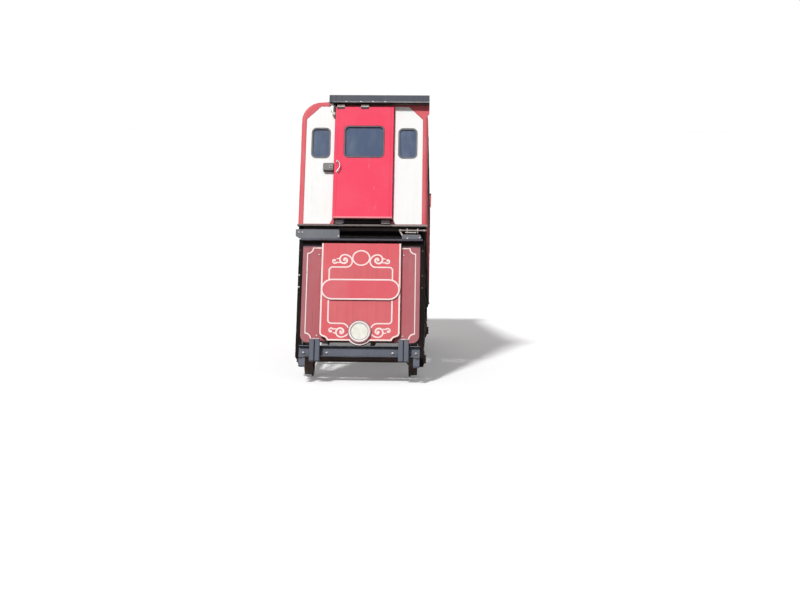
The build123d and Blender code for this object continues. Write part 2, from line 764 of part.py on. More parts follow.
medal = rod(0, BOARD_FRONT - MEDAL_T / 2, MEDAL_Z, ALONG_Y, MEDAL_R, MEDAL_T)
medal = chamfer(medal.faces().sort_by(Axis.Y)[0].edges(), MEDAL_SUNK)
sunk_face = rod(0, BOARD_FRONT - MEDAL_T, MEDAL_Z, ALONG_Y, MEDAL_R - MEDAL_RIM, 2 * MEDAL_SUNK)
node("medallion", medal - sunk_face)

# Apron and shoe plate between the cabin floor and the wedge
apron = polygon(
    (APRON_LEFT, FRAME_TOP + APRON_CUT_Z), (APRON_LEFT + APRON_CUT_X, FRAME_TOP), (APRON_RIGHT, FRAME_TOP),
    (APRON_RIGHT - APRON_LEAN, SOLE_BOTTOM), (APRON_LEFT, SOLE_BOTTOM))
apron = fillet(apron.vertices().sort_by(Axis.X)[-2:], APRON_ROUND)
apron_sheet = facing(apron, APRON_FRONT + APRON_T, APRON_T)
apron_fold = limits((APRON_LEFT, APRON_RIGHT - APRON_FOLD_SHORT), (APRON_FRONT, -HALF_L + APRON_FOLD_IN),
                    (SOLE_BOTTOM - APRON_T, SOLE_BOTTOM))
shoe = Pos(SHOE_LEFT + SHOE_W / 2, FRAME_TOP + SHOE_H / 2) * Rectangle(SHOE_W, SHOE_H)
shoe = fillet(shoe.vertices().sort_by(Axis.Y)[2:], SHOE_ROUND)
node("apron_plates", apron_sheet + apron_fold, facing(shoe, APRON_FRONT + APRON_T, APRON_T))

# Release shaft in two straps, with its link and lever
collars_x = [SHAFT_LEFT + step for step in SHAFT_COLLARS]
shaft = rod((SHAFT_LEFT + SHAFT_RIGHT) / 2, SHAFT_Y, SHAFT_Z, ALONG_X, SHAFT_R, SHAFT_L)
for x in collars_x:
    shaft += rod(x, SHAFT_Y, SHAFT_Z, ALONG_X, SHAFT_COLLAR_R, SHAFT_COLLAR_W)
strap_y = (SHAFT_Y - STRAP_FRONT, -SOLE_END)
strap_z = (SHAFT_Z - STRAP_DROP, SOLE_BOTTOM + STRAP_UP)
for x in collars_x[1:3]:
    shaft += limits((x - STRAP_W / 2, x + STRAP_W / 2), strap_y, strap_z)
link_x = (collars_x[1] - LINK_PAST, collars_x[2] - LINK_SHORT)
link_y = (strap_y[0], strap_y[0] + LINK_T)
shaft += limits(link_x, link_y, (strap_z[0], strap_z[0] + LINK_H))
lever_foot = SHOE_LEFT + LEVER_FOOT
lever = polygon((SHAFT_LEFT, SHAFT_Z), (SHAFT_LEFT + LEVER_W, SHAFT_Z + LEVER_RISE),
                (lever_foot + LEVER_FOOT_W, FRAME_TOP + LEVER_FOOT_H), (lever_foot, FRAME_TOP))
node("release_shaft", shaft + facing(lever, SHAFT_Y + LEVER_T / 2, LEVER_T))

# Bolsters on the wedge and rubber mounts under the cabin floor
mount_h = SOLE_BOTTOM - BOLSTER_TOP
bolsters = []
body_mounts = []
for y in (-MOUNT_Y, 0, MOUNT_Y):
    beam_y = (y - BOLSTER_W / 2, y + BOLSTER_W / 2)
    beam = limits((-FRAME_X_OUT, FRAME_X_OUT), beam_y, (FRAME_TOP, BOLSTER_TOP))
    bolsters.append(fillet(beam.edges().filter_by(Axis.X), BOLSTER_ROUND))
    body_mounts += both_sides(Pos(MOUNT_X, y, BOLSTER_TOP + mount_h / 2) * Cylinder(MOUNT_R, mount_h))
node("bolsters", *bolsters)
node("body_mounts", *body_mounts)

# Cabin floor: sole bars, cross bearers and deck
sole_in = SOLE_OUT - SOLE_W
sole = limits((sole_in, SOLE_OUT), (-SOLE_END, SOLE_END), (SOLE_BOTTOM, BODY_BOTTOM))
sole_groove = limits((sole_in, SOLE_OUT - SOLE_SHEET), (-SOLE_END, SOLE_END),
                     (SOLE_BOTTOM + SOLE_SHEET, BODY_BOTTOM - SOLE_SHEET))
node("sole_bars", *both_sides(sole - sole_groove))

bearers = []
for y in (BEARER_W / 2 - SOLE_END, -MOUNT_Y, -MOUNT_Y / 2, 0, MOUNT_Y / 2, MOUNT_Y, SOLE_END - BEARER_W / 2):
    bearer_y = (y - BEARER_W / 2, y + BEARER_W / 2)
    bearers.append(limits((-sole_in, sole_in), bearer_y, (SOLE_BOTTOM, BODY_BOTTOM)))
node("floor_bearers", *bearers)

node("floor_deck", limits((-INNER_W, INNER_W), (-INNER_L, INNER_L), (BODY_BOTTOM, DECK_TOP)))


# Cabin shell: an arched outline, rounded at both ends, hollow, then cut where the panels meet
def arch(inset):
    half = HALF_W - inset
    eaves = EAVES_Z - inset
    sides = [Line((half, eaves), (half, BODY_BOTTOM)), Line((half, BODY_BOTTOM), (-half, BODY_BOTTOM)),
             Line((-half, BODY_BOTTOM), (-half, eaves))]
    crown = ThreePointArc((-half, eaves), (0, eaves + CROWN), (half, eaves))
    face = make_face([*sides, crown])
    return fillet(face.vertices().sort_by(Axis.Y)[-2:], ROOF_CORNER_R - inset)


outside = facing(arch(0), HALF_L, BODY_L)
end_edges = [edge for face in outside.faces().sort_by(Axis.Y)[::len(outside.faces()) - 1]
             for edge in face.edges() if edge.center().Z > BODY_BOTTOM + SHEET_T]
outside = fillet(end_edges, END_EDGE_R)
shell = outside - facing(arch(WALL), INNER_L, 2 * INNER_L)

side_room = limits((0, BODY_W), (-RING_Y, RING_Y), (BODY_BOTTOM, SIDE_WALL_TOP))
roof_room = limits((-BODY_W, BODY_W), (-RING_Y, RING_Y), (SIDE_WALL_TOP, EAVES_Z + BODY_W))
end_room = limits((-BODY_W, BODY_W), (-HALF_L, -RING_Y), (BODY_BOTTOM, EAVES_Z + BODY_W))

node("roof", shell & roof_room)


def end_panel_outline(inset):
    low = PANEL_BOTTOM + inset
    top = PANEL_TOP - inset
    out = PANEL_OUT - inset
    back = POST_IN + inset
    cut = inset * math.tan(math.radians(30))
    return polygon((back, low), (out, low), (out, top - PANEL_CHAMFER_Z + cut),
                   (out - PANEL_CHAMFER_X + cut, top), (back, top))


def rounded(x, z, width, height, radius):
    return Pos(x, z) * RectangleRounded(width, height, radius)


def window_parts(x, z, width, height, wall_back, wall_t):
    """Hole, rubber and glass of a window drawn in X and Z, in a wall that ends at wall_back."""

    def grown(by):
        return rounded(x, z, width + 2 * by, height + 2 * by, WINDOW_R + by)

    hole = facing(grown(0), wall_back, wall_t)
    core = facing(grown(-SEAT_GAP) - grown(-SEAL_W), wall_back, wall_t)
    lip = grown(SEAL_LIP) - grown(-SEAL_W)
    lips = [facing(lip, y, SEAL_LIP_T) for y in (wall_back + SEAL_LIP_T, wall_back - wall_t)]
    pane = facing(grown(-SEAL_W - SEAT_GAP), wall_back - wall_t / 2 + GLASS_T / 2, GLASS_T)
    return hole, fused(core, *lips), pane


# Lower end: red ring with door posts, two white panels, their windows
SPARE = 1.0
doorway = limits((-DOORWAY_W / 2, DOORWAY_W / 2), (-HALF_L - SPARE, SPARE - RING_Y),
                 (BODY_BOTTOM - SPARE, DOORWAY_TOP))
ring = (shell & end_room) - doorway
for hole in both_sides(facing(end_panel_outline(0), SPARE - INNER_L, WALL + 2 * SPARE)):
    ring = ring - hole
flare = polygon((POST_IN, PANEL_BOTTOM), (POST_IN + FLARE, PANEL_BOTTOM),
                (POST_IN, PANEL_BOTTOM + 2 * FLARE))
for piece in both_sides(facing(flare, -INNER_L, WALL)):
    ring = ring + piece

# Gusset on the ring's corner, under the far end of the door track
gusset = polygon((GUSSET_IN, GUSSET_TOP), (COVER_RIGHT, GUSSET_TOP), (COVER_RIGHT, GUSSET_CORNER),
                 (HALF_W - END_EDGE_R, GUSSET_LOW), (GUSSET_IN, GUSSET_LOW))
ring = ring + (facing(gusset, GUSSET_T - HALF_L, GUSSET_T) - facing(arch(END_EDGE_R), 0, BODY_L))

PANEL_T = WALL - PANEL_RECESS
flare_room = polygon((POST_IN, PANEL_BOTTOM), (POST_IN + FLARE + 2 * SEAT_GAP, PANEL_BOTTOM),
                     (POST_IN, PANEL_BOTTOM + 2 * FLARE + 4 * SEAT_GAP))
panel = facing(end_panel_outline(SEAT_GAP), -INNER_L, PANEL_T)
panel = panel - facing(flare_room, SPARE - INNER_L, WALL + 2 * SPARE)
hole, rubber, pane = window_parts(END_WINDOW_X, WINDOW_TOP - END_WINDOW_H / 2, END_WINDOW_W, END_WINDOW_H,
                                  -INNER_L, PANEL_T)
end_panels = both_sides(panel - hole)
end_rubbers = both_sides(rubber)
end_panes = both_sides(pane)

node("lower_end_frame", ring)
node("upper_end_frame", other_end(ring))
node("end_panels", *end_panels, *[other_end(piece) for piece in end_panels])

# Side walls with their windows
side_wall = shell & side_room
onto_side = Pos(HALF_W - WALL, 0, 0) * Rot(0, 0, 90)
side_rubbers = []
side_panes = []
for place in range(SIDE_WINDOWS):
    y = (place - (SIDE_WINDOWS - 1) / 2) * SIDE_BAY
    window = window_parts(y, WINDOW_TOP - SIDE_WINDOW_H / 2, SIDE_WINDOW_W, SIDE_WINDOW_H, 0, WALL)
    hole, rubber, pane = [onto_side * piece for piece in window]
    side_wall = side_wall - hole
    side_rubbers += both_sides(rubber)
    side_panes += both_sides(pane)
node("side_wall_right", side_wall)
node("side_wall_left", mirrored(side_wall))

node("window_rubbers", *end_rubbers, *[other_end(piece) for piece in end_rubbers], *side_rubbers)
node("window_glass", *end_panes, *[other_end(piece) for piece in end_panes], *side_panes)

# Sill strips along both ends, under the panels and the doorway
sill = limits((-HALF_W - SILL_PAST, HALF_W + SILL_PAST), (-HALF_L - SILL_D, -SOLE_END),
              (SILL_TOP - SILL_H, SILL_TOP))
sill = fillet(sill.faces().sort_by(Axis.Y)[0].edges().filter_by(Axis.X), SILL_ROUND)
node("sill_strips", sill, other_end(sill))

# Sliding doors: leaf and window
door_half = DOOR_W / 2
leaf = limits((-door_half, door_half), (DOOR_FRONT, DOOR_BACK), (DOOR_BOTTOM, DOOR_TOP))
leaf = fillet(leaf.faces().sort_by(Axis.Y)[0].edges().filter_by(Axis.Z), DOOR_ROUND)
for x in (DOOR_GROOVE_IN - door_half, door_half - DOOR_GROOVE_IN):
    groove_x = (x - DOOR_GROOVE_W / 2, x + DOOR_GROOVE_W / 2)
    leaf = leaf - limits(groove_x, (DOOR_FRONT, DOOR_FRONT + DOOR_GROOVE_D), (DOOR_BOTTOM, DOOR_TOP))
hole, door_rubber, door_pane = window_parts(0, DOOR_WINDOW_TOP - DOOR_WINDOW_H / 2, DOOR_WINDOW_W,
                                            DOOR_WINDOW_H, DOOR_BACK, DOOR_T)
leaf = leaf - hole

# Door hangers with their rollers
hangers = []
for x in HANGERS_X:
    plate = limits((x - HANGER_W / 2, x + HANGER_W / 2), (DOOR_FRONT - HANGER_T, DOOR_FRONT),
                   (DOOR_TOP - HANGER_BELOW, ROLLER_Z + HANGER_ABOVE))
    plate = chamfer(plate.edges().filter_by(Axis.Y).sort_by(Axis.Z)[-2:], HANGER_CORNER)
    roller = rod(x, ROLLER_Y, ROLLER_Z, ALONG_Y, ROLLER_R, ROLLER_W)
    pin = rod(x, DOOR_FRONT - HANGER_T / 2, ROLLER_Z, ALONG_Y, PIN_R, HANGER_T + 2 * PIN_OUT)
    hangers.append(fused(plate, roller, pin))

# Guide feet behind the leaf's bottom edge
foot_z = SILL_TOP + FOOT_CLEAR
feet = []
for x in FEET_X:
    foot_x = (x - FOOT_W / 2, x + FOOT_W / 2)
    shank = limits(foot_x, (DOOR_BACK, DOOR_BACK + FOOT_T), (foot_z, DOOR_BOTTOM + FOOT_UP))
    toe = limits(foot_x, (DOOR_BACK - FOOT_TOE, DOOR_BACK + FOOT_T), (foot_z, foot_z + FOOT_TOE_H))
    feet.append(shank + toe)

# Bowed handle on two rosettes
handle_y = DOOR_FRONT - HANDLE_OUT
ends_z = (HANDLE_Z - HANDLE_H / 2, HANDLE_Z + HANDLE_H / 2)
bow_path = ThreePointArc((HANDLE_X, handle_y, ends_z[0]), (HANDLE_X + HANDLE_BOW, handle_y, HANDLE_Z),
                         (HANDLE_X, handle_y, ends_z[1]))
bow = sweep(Plane(bow_path @ 0, z_dir=bow_path % 0) * Circle(HANDLE_ROD_R), path=bow_path)
for z in ends_z:
    bow += rod(HANDLE_X, handle_y + HANDLE_OUT / 2, z, ALONG_Y, HANDLE_ROD_R, HANDLE_OUT)
    bow += Pos(HANDLE_X, handle_y, z) * Sphere(HANDLE_ROD_R)
    bow += rod(HANDLE_X, DOOR_FRONT - ROSETTE_T / 2, z, ALONG_Y, ROSETTE_R, ROSETTE_T)

# The handle is the same above and below its middle, so half a turn takes it to the other end
turned_bow = Pos(0, 0, HANDLE_Z) * Rot(180, 0, 0) * Pos(0, 0, -HANDLE_Z) * bow
for name, piece in {"door": leaf, "door_rubber": door_rubber, "door_glass": door_pane}.items():
    node(f"lower_{name}", piece)
    node(f"upper_{name}", other_end(piece))
node("lower_door_fittings", *hangers, *feet, bow)
node("upper_door_fittings", *[other_end(piece) for piece in [*hangers, *feet]], turned_bow)

# Cover over the door track, open below
cover_y = (-HALF_L - COVER_D, -HALF_L)
cover_z = (COVER_BOTTOM, COVER_BOTTOM + COVER_H)
cover = limits((COVER_LEFT, COVER_RIGHT), cover_y, cover_z)
cover_edges = cover.edges().filter_by(Axis.X).filter_by(lambda edge: edge.center().Y < -HALF_L - SPARE)
cover = fillet(cover_edges.sort_by(Axis.Z)[-1:], COVER_ROUND)
inside_x = (COVER_LEFT + COVER_SHEET, COVER_RIGHT - COVER_SHEET)
cavity_y = (cover_y[0] + COVER_SHEET, cover_y[1])
cavity = limits(inside_x, cavity_y, (cover_z[0] - SPARE, cover_z[1] - COVER_SHEET))
lip_fold = limits((COVER_LEFT, COVER_RIGHT), (cover_y[0], cover_y[0] + COVER_LIP),
                  (cover_z[0], cover_z[0] + COVER_SHEET))
shroud = cover - cavity + lip_fold
node("door_track_covers", shroud, other_end(shroud))

# Door track with its lip, and the stop at the closing side
track_lip_y = (ROLLER_Y - TRACK_LIP_T / 2, ROLLER_Y + TRACK_LIP_T / 2)
track = limits(inside_x, (track_lip_y[0], -HALF_L), (TRACK_Z, TRACK_Z + TRACK_T))
track = track + limits(inside_x, track_lip_y, (TRACK_Z, TRACK_LIP_TOP))
stop_left = COVER_LEFT + STOP_IN
stop_right = -door_half - STOP_TO_DOOR
stop_points = [(stop_left + out, COVER_BOTTOM - down) for out, down in STOP_EDGE]
stop = polygon(*stop_points, (stop_right, COVER_BOTTOM - STOP_H), (stop_right, COVER_BOTTOM))
stop_arm = facing(stop, -HALF_L, STOP_D)
node("door_tracks", track, stop_arm, other_end(track), other_end(stop_arm))

# Lock box with a push ring on the closing side's panel
lock = limits((LOCK_X - LOCK_W / 2, LOCK_X + LOCK_W / 2), (-HALF_L - LOCK_D, -HALF_L),
              (LOCK_Z - LOCK_H / 2, LOCK_Z + LOCK_H / 2))
lock = fillet(lock.edges().filter_by(Axis.Y), LOCK_CORNER_R)
lock = fillet(lock.faces().sort_by(Axis.Y)[0].edges(), LOCK_EDGE_R)
button_x = LOCK_X + LOCK_W / 2 - BUTTON_IN
lock_front = -HALF_L - LOCK_D
button = rod(button_x, lock_front - BUTTON_T / 2, LOCK_Z, ALONG_Y, BUTTON_R, BUTTON_T)
button = button - rod(button_x, lock_front - BUTTON_T, LOCK_Z, ALONG_Y, BUTTON_HOLE_R, 2 * BUTTON_SUNK)
lock = lock + button
node("door_locks", lock, other_end(lock))

# Benches along both sides
seat = limits((BENCH_FRONT, INNER_W), (-BENCH_HALF_L, BENCH_HALF_L), (BENCH_TOP - BENCH_T, BENCH_TOP))
seat = fillet(seat.edges().filter_by(Axis.Y).sort_by(Axis.X)[:2], BENCH_ROUND)
rest_low = BENCH_TOP + BACKREST_GAP
rest_z = (rest_low, rest_low + BACKREST_H)
backrest = limits((INNER_W - BACKREST_T, INNER_W), (-BENCH_HALF_L, BENCH_HALF_L), rest_z)
node("bench_seats", *both_sides(seat), *both_sides(backrest))

leg_front = BENCH_FRONT + LEG_IN
leg_back = leg_front + LEG_STEM
seat_low = BENCH_TOP - BENCH_T
leg = polygon((leg_front, DECK_TOP), (INNER_W - LEG_HEEL, DECK_TOP),
              (INNER_W - LEG_HEEL, DECK_TOP + LEG_FOOT_H), (leg_back, DECK_TOP + LEG_FOOT_H),
              (leg_back, seat_low - LEG_ARM_H),
              (INNER_W - LEG_ARM_SHY, seat_low - LEG_ARM_H), (INNER_W - LEG_ARM_SHY, seat_low),
              (BENCH_FRONT + LEG_NOSE, seat_low), (leg_front, seat_low - LEG_NOSE_H))
legs = []
for y in (-LEG_Y, 0, LEG_Y):
    legs += both_sides(facing(leg, y + LEG_T / 2, LEG_T))
node("bench_legs", *legs)

# Grab rails under the roof
ceiling = facing(arch(WALL + SEAT_GAP), INNER_L, 2 * INNER_L)
grab = rod(GRAB_X, 0, GRAB_Z, ALONG_Y, GRAB_R, 2 * GRAB_HALF_L)
for y in (GRAB_STUD_IN - GRAB_HALF_L, 0, GRAB_HALF_L - GRAB_STUD_IN):
    grab += Pos(GRAB_X, y, GRAB_Z + GRAB_DROP / 2) * Cylinder(GRAB_STUD_R, GRAB_DROP)
node("grab_rails", *both_sides(grab & ceiling))

# Track brake: carriers along the rails, two jaws with arms, and the spring between the carriers
carrier_in = CARRIER_X - CARRIER_W / 2
carrier_out = CARRIER_X + CARRIER_W / 2
carrier_low = TUBE_N - HALF_TUBE
carrier = limits((carrier_in, carrier_out), (LOW_TUBES_S[0] + HALF_TUBE, LOW_TUBES_S[1] - HALF_TUBE),
                 (carrier_low, TUBE_N + HALF_TUBE))
spring_can = rod(0, 0, TUBE_N, ALONG_X, BRAKE_SPRING_R, 2 * carrier_in)
node("brake_carriers", on_slope(fused(carrier, mirrored(carrier), spring_can)))

jaw_in = BEAM_SLOT / 2
jaw_out = jaw_in + JAW_T
jaw_top = JAW_N + JAW_H
arm = polygon((jaw_in, JAW_N), (jaw_out, JAW_N), (jaw_out + ARM_OUT, jaw_top),
              (carrier_out, carrier_low - ARM_KNEE), (carrier_out, carrier_low),
              (carrier_in - ARM_LAP, carrier_low), (jaw_in + ARM_HEEL, jaw_top + ARM_THROAT), (jaw_in, jaw_top))
jaw = limits((jaw_in, jaw_out), (-JAW_L / 2, JAW_L / 2), (JAW_N, jaw_top))
for s in (ARM_IN - JAW_L / 2, JAW_L / 2 - ARM_IN):
    jaw += facing(arm, s + ARM_T / 2, ARM_T)
node("brake_jaws", *both_sides(on_slope(jaw)))

# Haulage lug under the upper cross tube, with the eye for the rope socket's pin
lug_top = tube_z - HALF_TUBE
eye_y = rear_tube_y + LUG_REACH
eye_z = lug_top - LUG_DROP
lug_round = Pos(eye_y, eye_z) * Circle(LUG_R)
lug_seat = Line((rear_tube_y - HALF_TUBE, lug_top), (rear_tube_y + HALF_TUBE, lug_top))
lug = across(make_hull([*lug_round.edges(), lug_seat]), -LUG_T / 2, LUG_T)
boss = rod(0, eye_y, eye_z, ALONG_X, LUG_EYE_R + LUG_BOSS, LUG_T + 2 * LUG_BOSS_OUT)
eye = rod(0, eye_y, eye_z, ALONG_X, LUG_EYE_R, 2 * LUG_T)
node("haulage_lug", lug + boss - eye)

os.makedirs("parts", exist_ok=True)
for name, shape in nodes.items():
    export_step(shape, f"parts/{name}.step")
print(len(nodes), "nodes")
for end, s in AXLES_S.items():
    print(end, "axle centre:", round(s * COS - TREAD_R * SIN, 3), round(s * SIN + TREAD_R * COS, 3))
print("haulage eye:", round(eye_y, 3), round(eye_z, 3))
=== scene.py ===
# %% [markdown]
# A funicular car climbs a steep slope and carries a level cabin on a wedge of steel. The CAD model
# brings every solid at its real size. This script gives them paint, glass, rubber and steel, and adds
# the lining, scrolls, bolts and trims. The frame comes first, because each new piece is placed by it.

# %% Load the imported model
import math

import bmesh
import bpy
from mathutils import Matrix, Vector
from mathutils.bvhtree import BVHTree


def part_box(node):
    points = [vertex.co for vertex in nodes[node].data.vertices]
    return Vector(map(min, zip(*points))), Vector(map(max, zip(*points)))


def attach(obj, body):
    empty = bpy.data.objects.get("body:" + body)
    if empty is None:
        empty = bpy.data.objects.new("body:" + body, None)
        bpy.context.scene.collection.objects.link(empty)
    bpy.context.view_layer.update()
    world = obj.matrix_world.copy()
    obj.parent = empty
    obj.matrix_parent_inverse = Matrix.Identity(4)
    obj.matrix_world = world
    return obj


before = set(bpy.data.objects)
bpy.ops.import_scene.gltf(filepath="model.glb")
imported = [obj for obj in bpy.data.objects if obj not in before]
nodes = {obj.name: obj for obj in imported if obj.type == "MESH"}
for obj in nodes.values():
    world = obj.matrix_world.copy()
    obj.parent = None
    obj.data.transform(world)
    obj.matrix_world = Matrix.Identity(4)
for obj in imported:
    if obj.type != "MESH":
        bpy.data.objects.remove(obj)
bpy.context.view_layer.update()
MM = 0.001
MERGE = 0.02 * MM


# %% [markdown]
# The camera stands low on the slope, looks up at 16 degrees and is a little to the right of the car.
# A long lens keeps the cabin's sides nearly upright. Its place is found from the spots where the car's
# corners show, and the small roll is the tilt of a camera that is held by hand.

# %% Camera
CAMERA_AT = Vector((1.27, -23.90, -5.90))
CAMERA_PITCH = 16.1
CAMERA_YAW = 1.77
CAMERA_ROLL = 1.0
LENS = 67.5


def degrees_about(angle, axis):
    """A turn in degrees about one axis, as a matrix."""
    return Matrix.Rotation(math.radians(angle), 4, axis)


camera = bpy.data.objects.new("camera", bpy.data.cameras.new("camera"))
camera.data.lens = LENS
camera.matrix_world = (
    Matrix.Translation(CAMERA_AT) @ degrees_about(CAMERA_YAW, "Z")
    @ degrees_about(90 + CAMERA_PITCH, "X") @ degrees_about(CAMERA_ROLL, "Z")
)
bpy.context.scene.collection.objects.link(camera)
bpy.context.scene.camera = camera
print("camera", [round(value, 2) for value in camera.location])


# %% [markdown]
# Shader graphs are quicker to read when one short helper makes a node and wires it. A colour is
# written as it reads on a screen, from 0 to 255, and turned into the linear numbers that sockets take.

# %% Helpers for shader nodes
def srgb(red, green, blue):
    """A colour as it reads on a screen, in Blender's linear numbers."""
    shares = [value / 255 for value in (red, green, blue)]
    linear = [share / 12.92 if share <= 0.04045 else ((share + 0.055) / 1.055) ** 2.4 for share in shares]
    return (*linear, 1.0)


def add(tree, kind, inputs=None, **settings):
    """A shader node with its settings, and each input either set or wired."""
    made = tree.nodes.new("ShaderNode" + kind)
    for name, value in settings.items():
        setattr(made, name, value)
    for name, value in (inputs or {}).items():
        if isinstance(value, bpy.types.NodeSocket):
            tree.links.new(value, made.inputs[name])
        else:
            made.inputs[name].default_value = value
    return made


MIX_FACTOR, MIX_A, MIX_B, MIX_RESULT = 0, 6, 7, 2


def mixed(tree, factor, first, second, blend="MIX"):
    """The mix of two colours, as an output socket."""
    settings = {MIX_FACTOR: factor, MIX_A: first, MIX_B: second}
    return add(tree, "Mix", settings, data_type="RGBA", blend_type=blend).outputs[MIX_RESULT]


def sums(tree, operation, first, second, third=0.0):
    """The result of a Math node."""
    return add(tree, "Math", {0: first, 1: second, 2: third}, operation=operation).outputs[0]


def product(tree, first, *others):
    """Values multiplied together."""
    for value in others:
        first = sums(tree, "MULTIPLY", first, value)
    return first


def vectors(tree, operation, first, second=(0.0, 0.0, 0.0), output="Vector"):
    """The result of a Vector Math node."""
    return add(tree, "VectorMath", {0: first, 1: second}, operation=operation).outputs[output]


def axes_of(tree, vector):
    """The three parts of a vector, as sockets named X, Y and Z."""
    return add(tree, "SeparateXYZ", {0: vector}).outputs


def object_place(tree):
    """The place on the object, in metres from its origin."""
    return add(tree, "TexCoord").outputs["Object"]


def normal_of(tree):
    """The way that the surface faces."""
    return add(tree, "NewGeometry").outputs["Normal"]


def ramp(tree, value, low, high, bottom=0.0, top=1.0):
    """A value that runs from bottom to top while the input runs from low to high."""
    inputs = {"Value": value, "From Min": low, "From Max": high, "To Min": bottom, "To Max": top}
    return add(tree, "MapRange", inputs, interpolation_type="SMOOTHSTEP").outputs["Result"]


def noise(tree, place, scale, detail=3.0, roughness=0.55):
    """Cloudy noise over a place vector."""
    inputs = {"Vector": place, "Scale": scale, "Detail": detail, "Roughness": roughness}
    return add(tree, "TexNoise", inputs).outputs["Fac"]


def stretched(tree, place, scale):
    """A place vector squeezed along each axis, so that a pattern stretches."""
    return add(tree, "Mapping", {"Vector": place, "Scale": scale}).outputs["Vector"]


print("a grey of 128 on the screen is", round(srgb(128, 128, 128)[0], 3), "in linear numbers")


# %% [markdown]
# The world is plain white to whatever looks straight at it: the camera, a reflection or a ray through
# glass. As a light it would be too strong at that, so the Light Path node tells the rays apart, and
# the rest get only a part of it.

# %% World
SKY_LIGHT = 0.30


def seen_directly(tree):
    """1 for the rays that only look: from the camera, in a reflection and through glass."""
    path = add(tree, "LightPath").outputs
    mirror = sums(tree, "MAXIMUM", path["Is Camera Ray"], path["Is Glossy Ray"])
    return sums(tree, "MAXIMUM", mirror, path["Is Transmission Ray"])


world = bpy.data.worlds.new("studio")
world.use_nodes = True
sky = world.node_tree
sky_strength = sums(sky, "MULTIPLY_ADD", seen_directly(sky), 1.0 - SKY_LIGHT, SKY_LIGHT)
sky.links.new(sky_strength, sky.nodes["Background"].inputs["Strength"])
sky.nodes["Background"].inputs["Color"].default_value = (1.0, 1.0, 1.0, 1.0)
bpy.context.scene.world = world
bpy.context.scene.view_settings.view_transform = "Standard"
print("the sky lights by", SKY_LIGHT, "of what it shows")


# %% [markdown]
# The car is built for a slope, so its floor is a plain pale plane along that slope, just under the
# wheels. The plane is white to the camera and still takes the shadow, but it throws back only as much
# light as dark ground does, so the steelwork stays dark underneath. It can be looked through from
# below, for the views from up the hill.

# %% Floor
SLOPE = 23.0
FLOOR_DOWN = 0.027
FLOOR_SIZE = 900.0
FLOOR_COLOUR = (0.86, 0.86, 0.86, 1.0)
FLOOR_BOUNCE = (0.30, 0.29, 0.28, 1.0)
FLOOR_GLOW = 0.16

floor_finish = bpy.data.materials.new("pale_floor")
floor_finish.use_nodes = True
floor_tree = floor_finish.node_tree
floor_skin = floor_tree.nodes["Principled BSDF"]
floor_paint = mixed(floor_tree, seen_directly(floor_tree), FLOOR_BOUNCE, FLOOR_COLOUR)
floor_tree.links.new(floor_paint, floor_skin.inputs["Base Color"])
floor_skin.inputs["Roughness"].default_value = 0.9
floor_skin.inputs["Specular IOR Level"].default_value = 0.0
floor_skin.inputs["Emission Color"].default_value = (1.0, 1.0, 1.0, 1.0)
floor_glow = sums(floor_tree, "MULTIPLY", seen_directly(floor_tree), FLOOR_GLOW)
floor_tree.links.new(floor_glow, floor_skin.inputs["Emission Strength"])
underside = add(floor_tree, "NewGeometry").outputs["Backfacing"]
see_through = add(floor_tree, "BsdfTransparent")
one_sided = add(floor_tree, "MixShader", {0: underside, 1: floor_skin.outputs[0], 2: see_through.outputs[0]})
floor_tree.links.new(one_sided.outputs[0], floor_tree.nodes["Material Output"].inputs["Surface"])

floor_mesh = bpy.data.meshes.new("floor")
floor_bm = bmesh.new()
bmesh.ops.create_grid(floor_bm, x_segments=1, y_segments=1, size=FLOOR_SIZE / 2)
bmesh.ops.translate(floor_bm, vec=(0, 0, -FLOOR_DOWN), verts=floor_bm.verts)
bmesh.ops.transform(floor_bm, matrix=degrees_about(SLOPE, "X"), verts=floor_bm.verts)
floor_bm.to_mesh(floor_mesh)
floor_bm.free()
floor_mesh.materials.append(floor_finish)
floor = bpy.data.objects.new("floor", floor_mesh)
bpy.context.scene.collection.objects.link(floor)
print("floor slope", SLOPE, "degrees")


# %% [markdown]
# Daylight comes from the front left, about 30 degrees high, and is softened so that edges of shadows
# blur a little. With the sky it adds up to about one on the car's front, so each colour renders as it
# is written. A weak light from behind keeps the other sides readable.

# %% Lights
SUN_HEIGHT = 31.0
SUN_SIDE = -22.0
SUN_STRENGTH = 2.85
SUN_SOFT = 7.0
BACK_HEIGHT = 30.0
BACK_SIDE = 200.0
BACK_STRENGTH = 0.9
BACK_SOFT = 30.0


def add_sun(name, side, height, strength, soft):
    """A sun whose light comes from a side, 0 in front of the car, and a height above the level."""
    light = bpy.data.lights.new(name, "SUN")
    light.energy = strength
    light.angle = math.radians(soft)
    lamp = bpy.data.objects.new(name, light)
    lamp.matrix_world = degrees_about(side, "Z") @ degrees_about(90 - height, "X")
    bpy.context.scene.collection.objects.link(lamp)


add_sun("sun", SUN_SIDE, SUN_HEIGHT, SUN_STRENGTH, SUN_SOFT)
add_sun("back_light", BACK_SIDE, BACK_HEIGHT, BACK_STRENGTH, BACK_SOFT)
print("suns", SUN_STRENGTH, BACK_STRENGTH)


# %% [markdown]
# Weather works the same way on every painted piece: the sun fades it in patches, rain draws streaks
# down it, dust settles on what faces up, dirt and painted shade darken the corners and paint chips
# along the edges. It could be painted by hand on a picture for each piece. A node group needs no
# unwrapping, looks alike on all of them, and each finish only sets how much.

# %% Weather group: sun and rain
PATCH_SCALE = 1.9
RAIN_STRETCH = (24, 24, 0.8)
BREAK_SCALE = 3.1


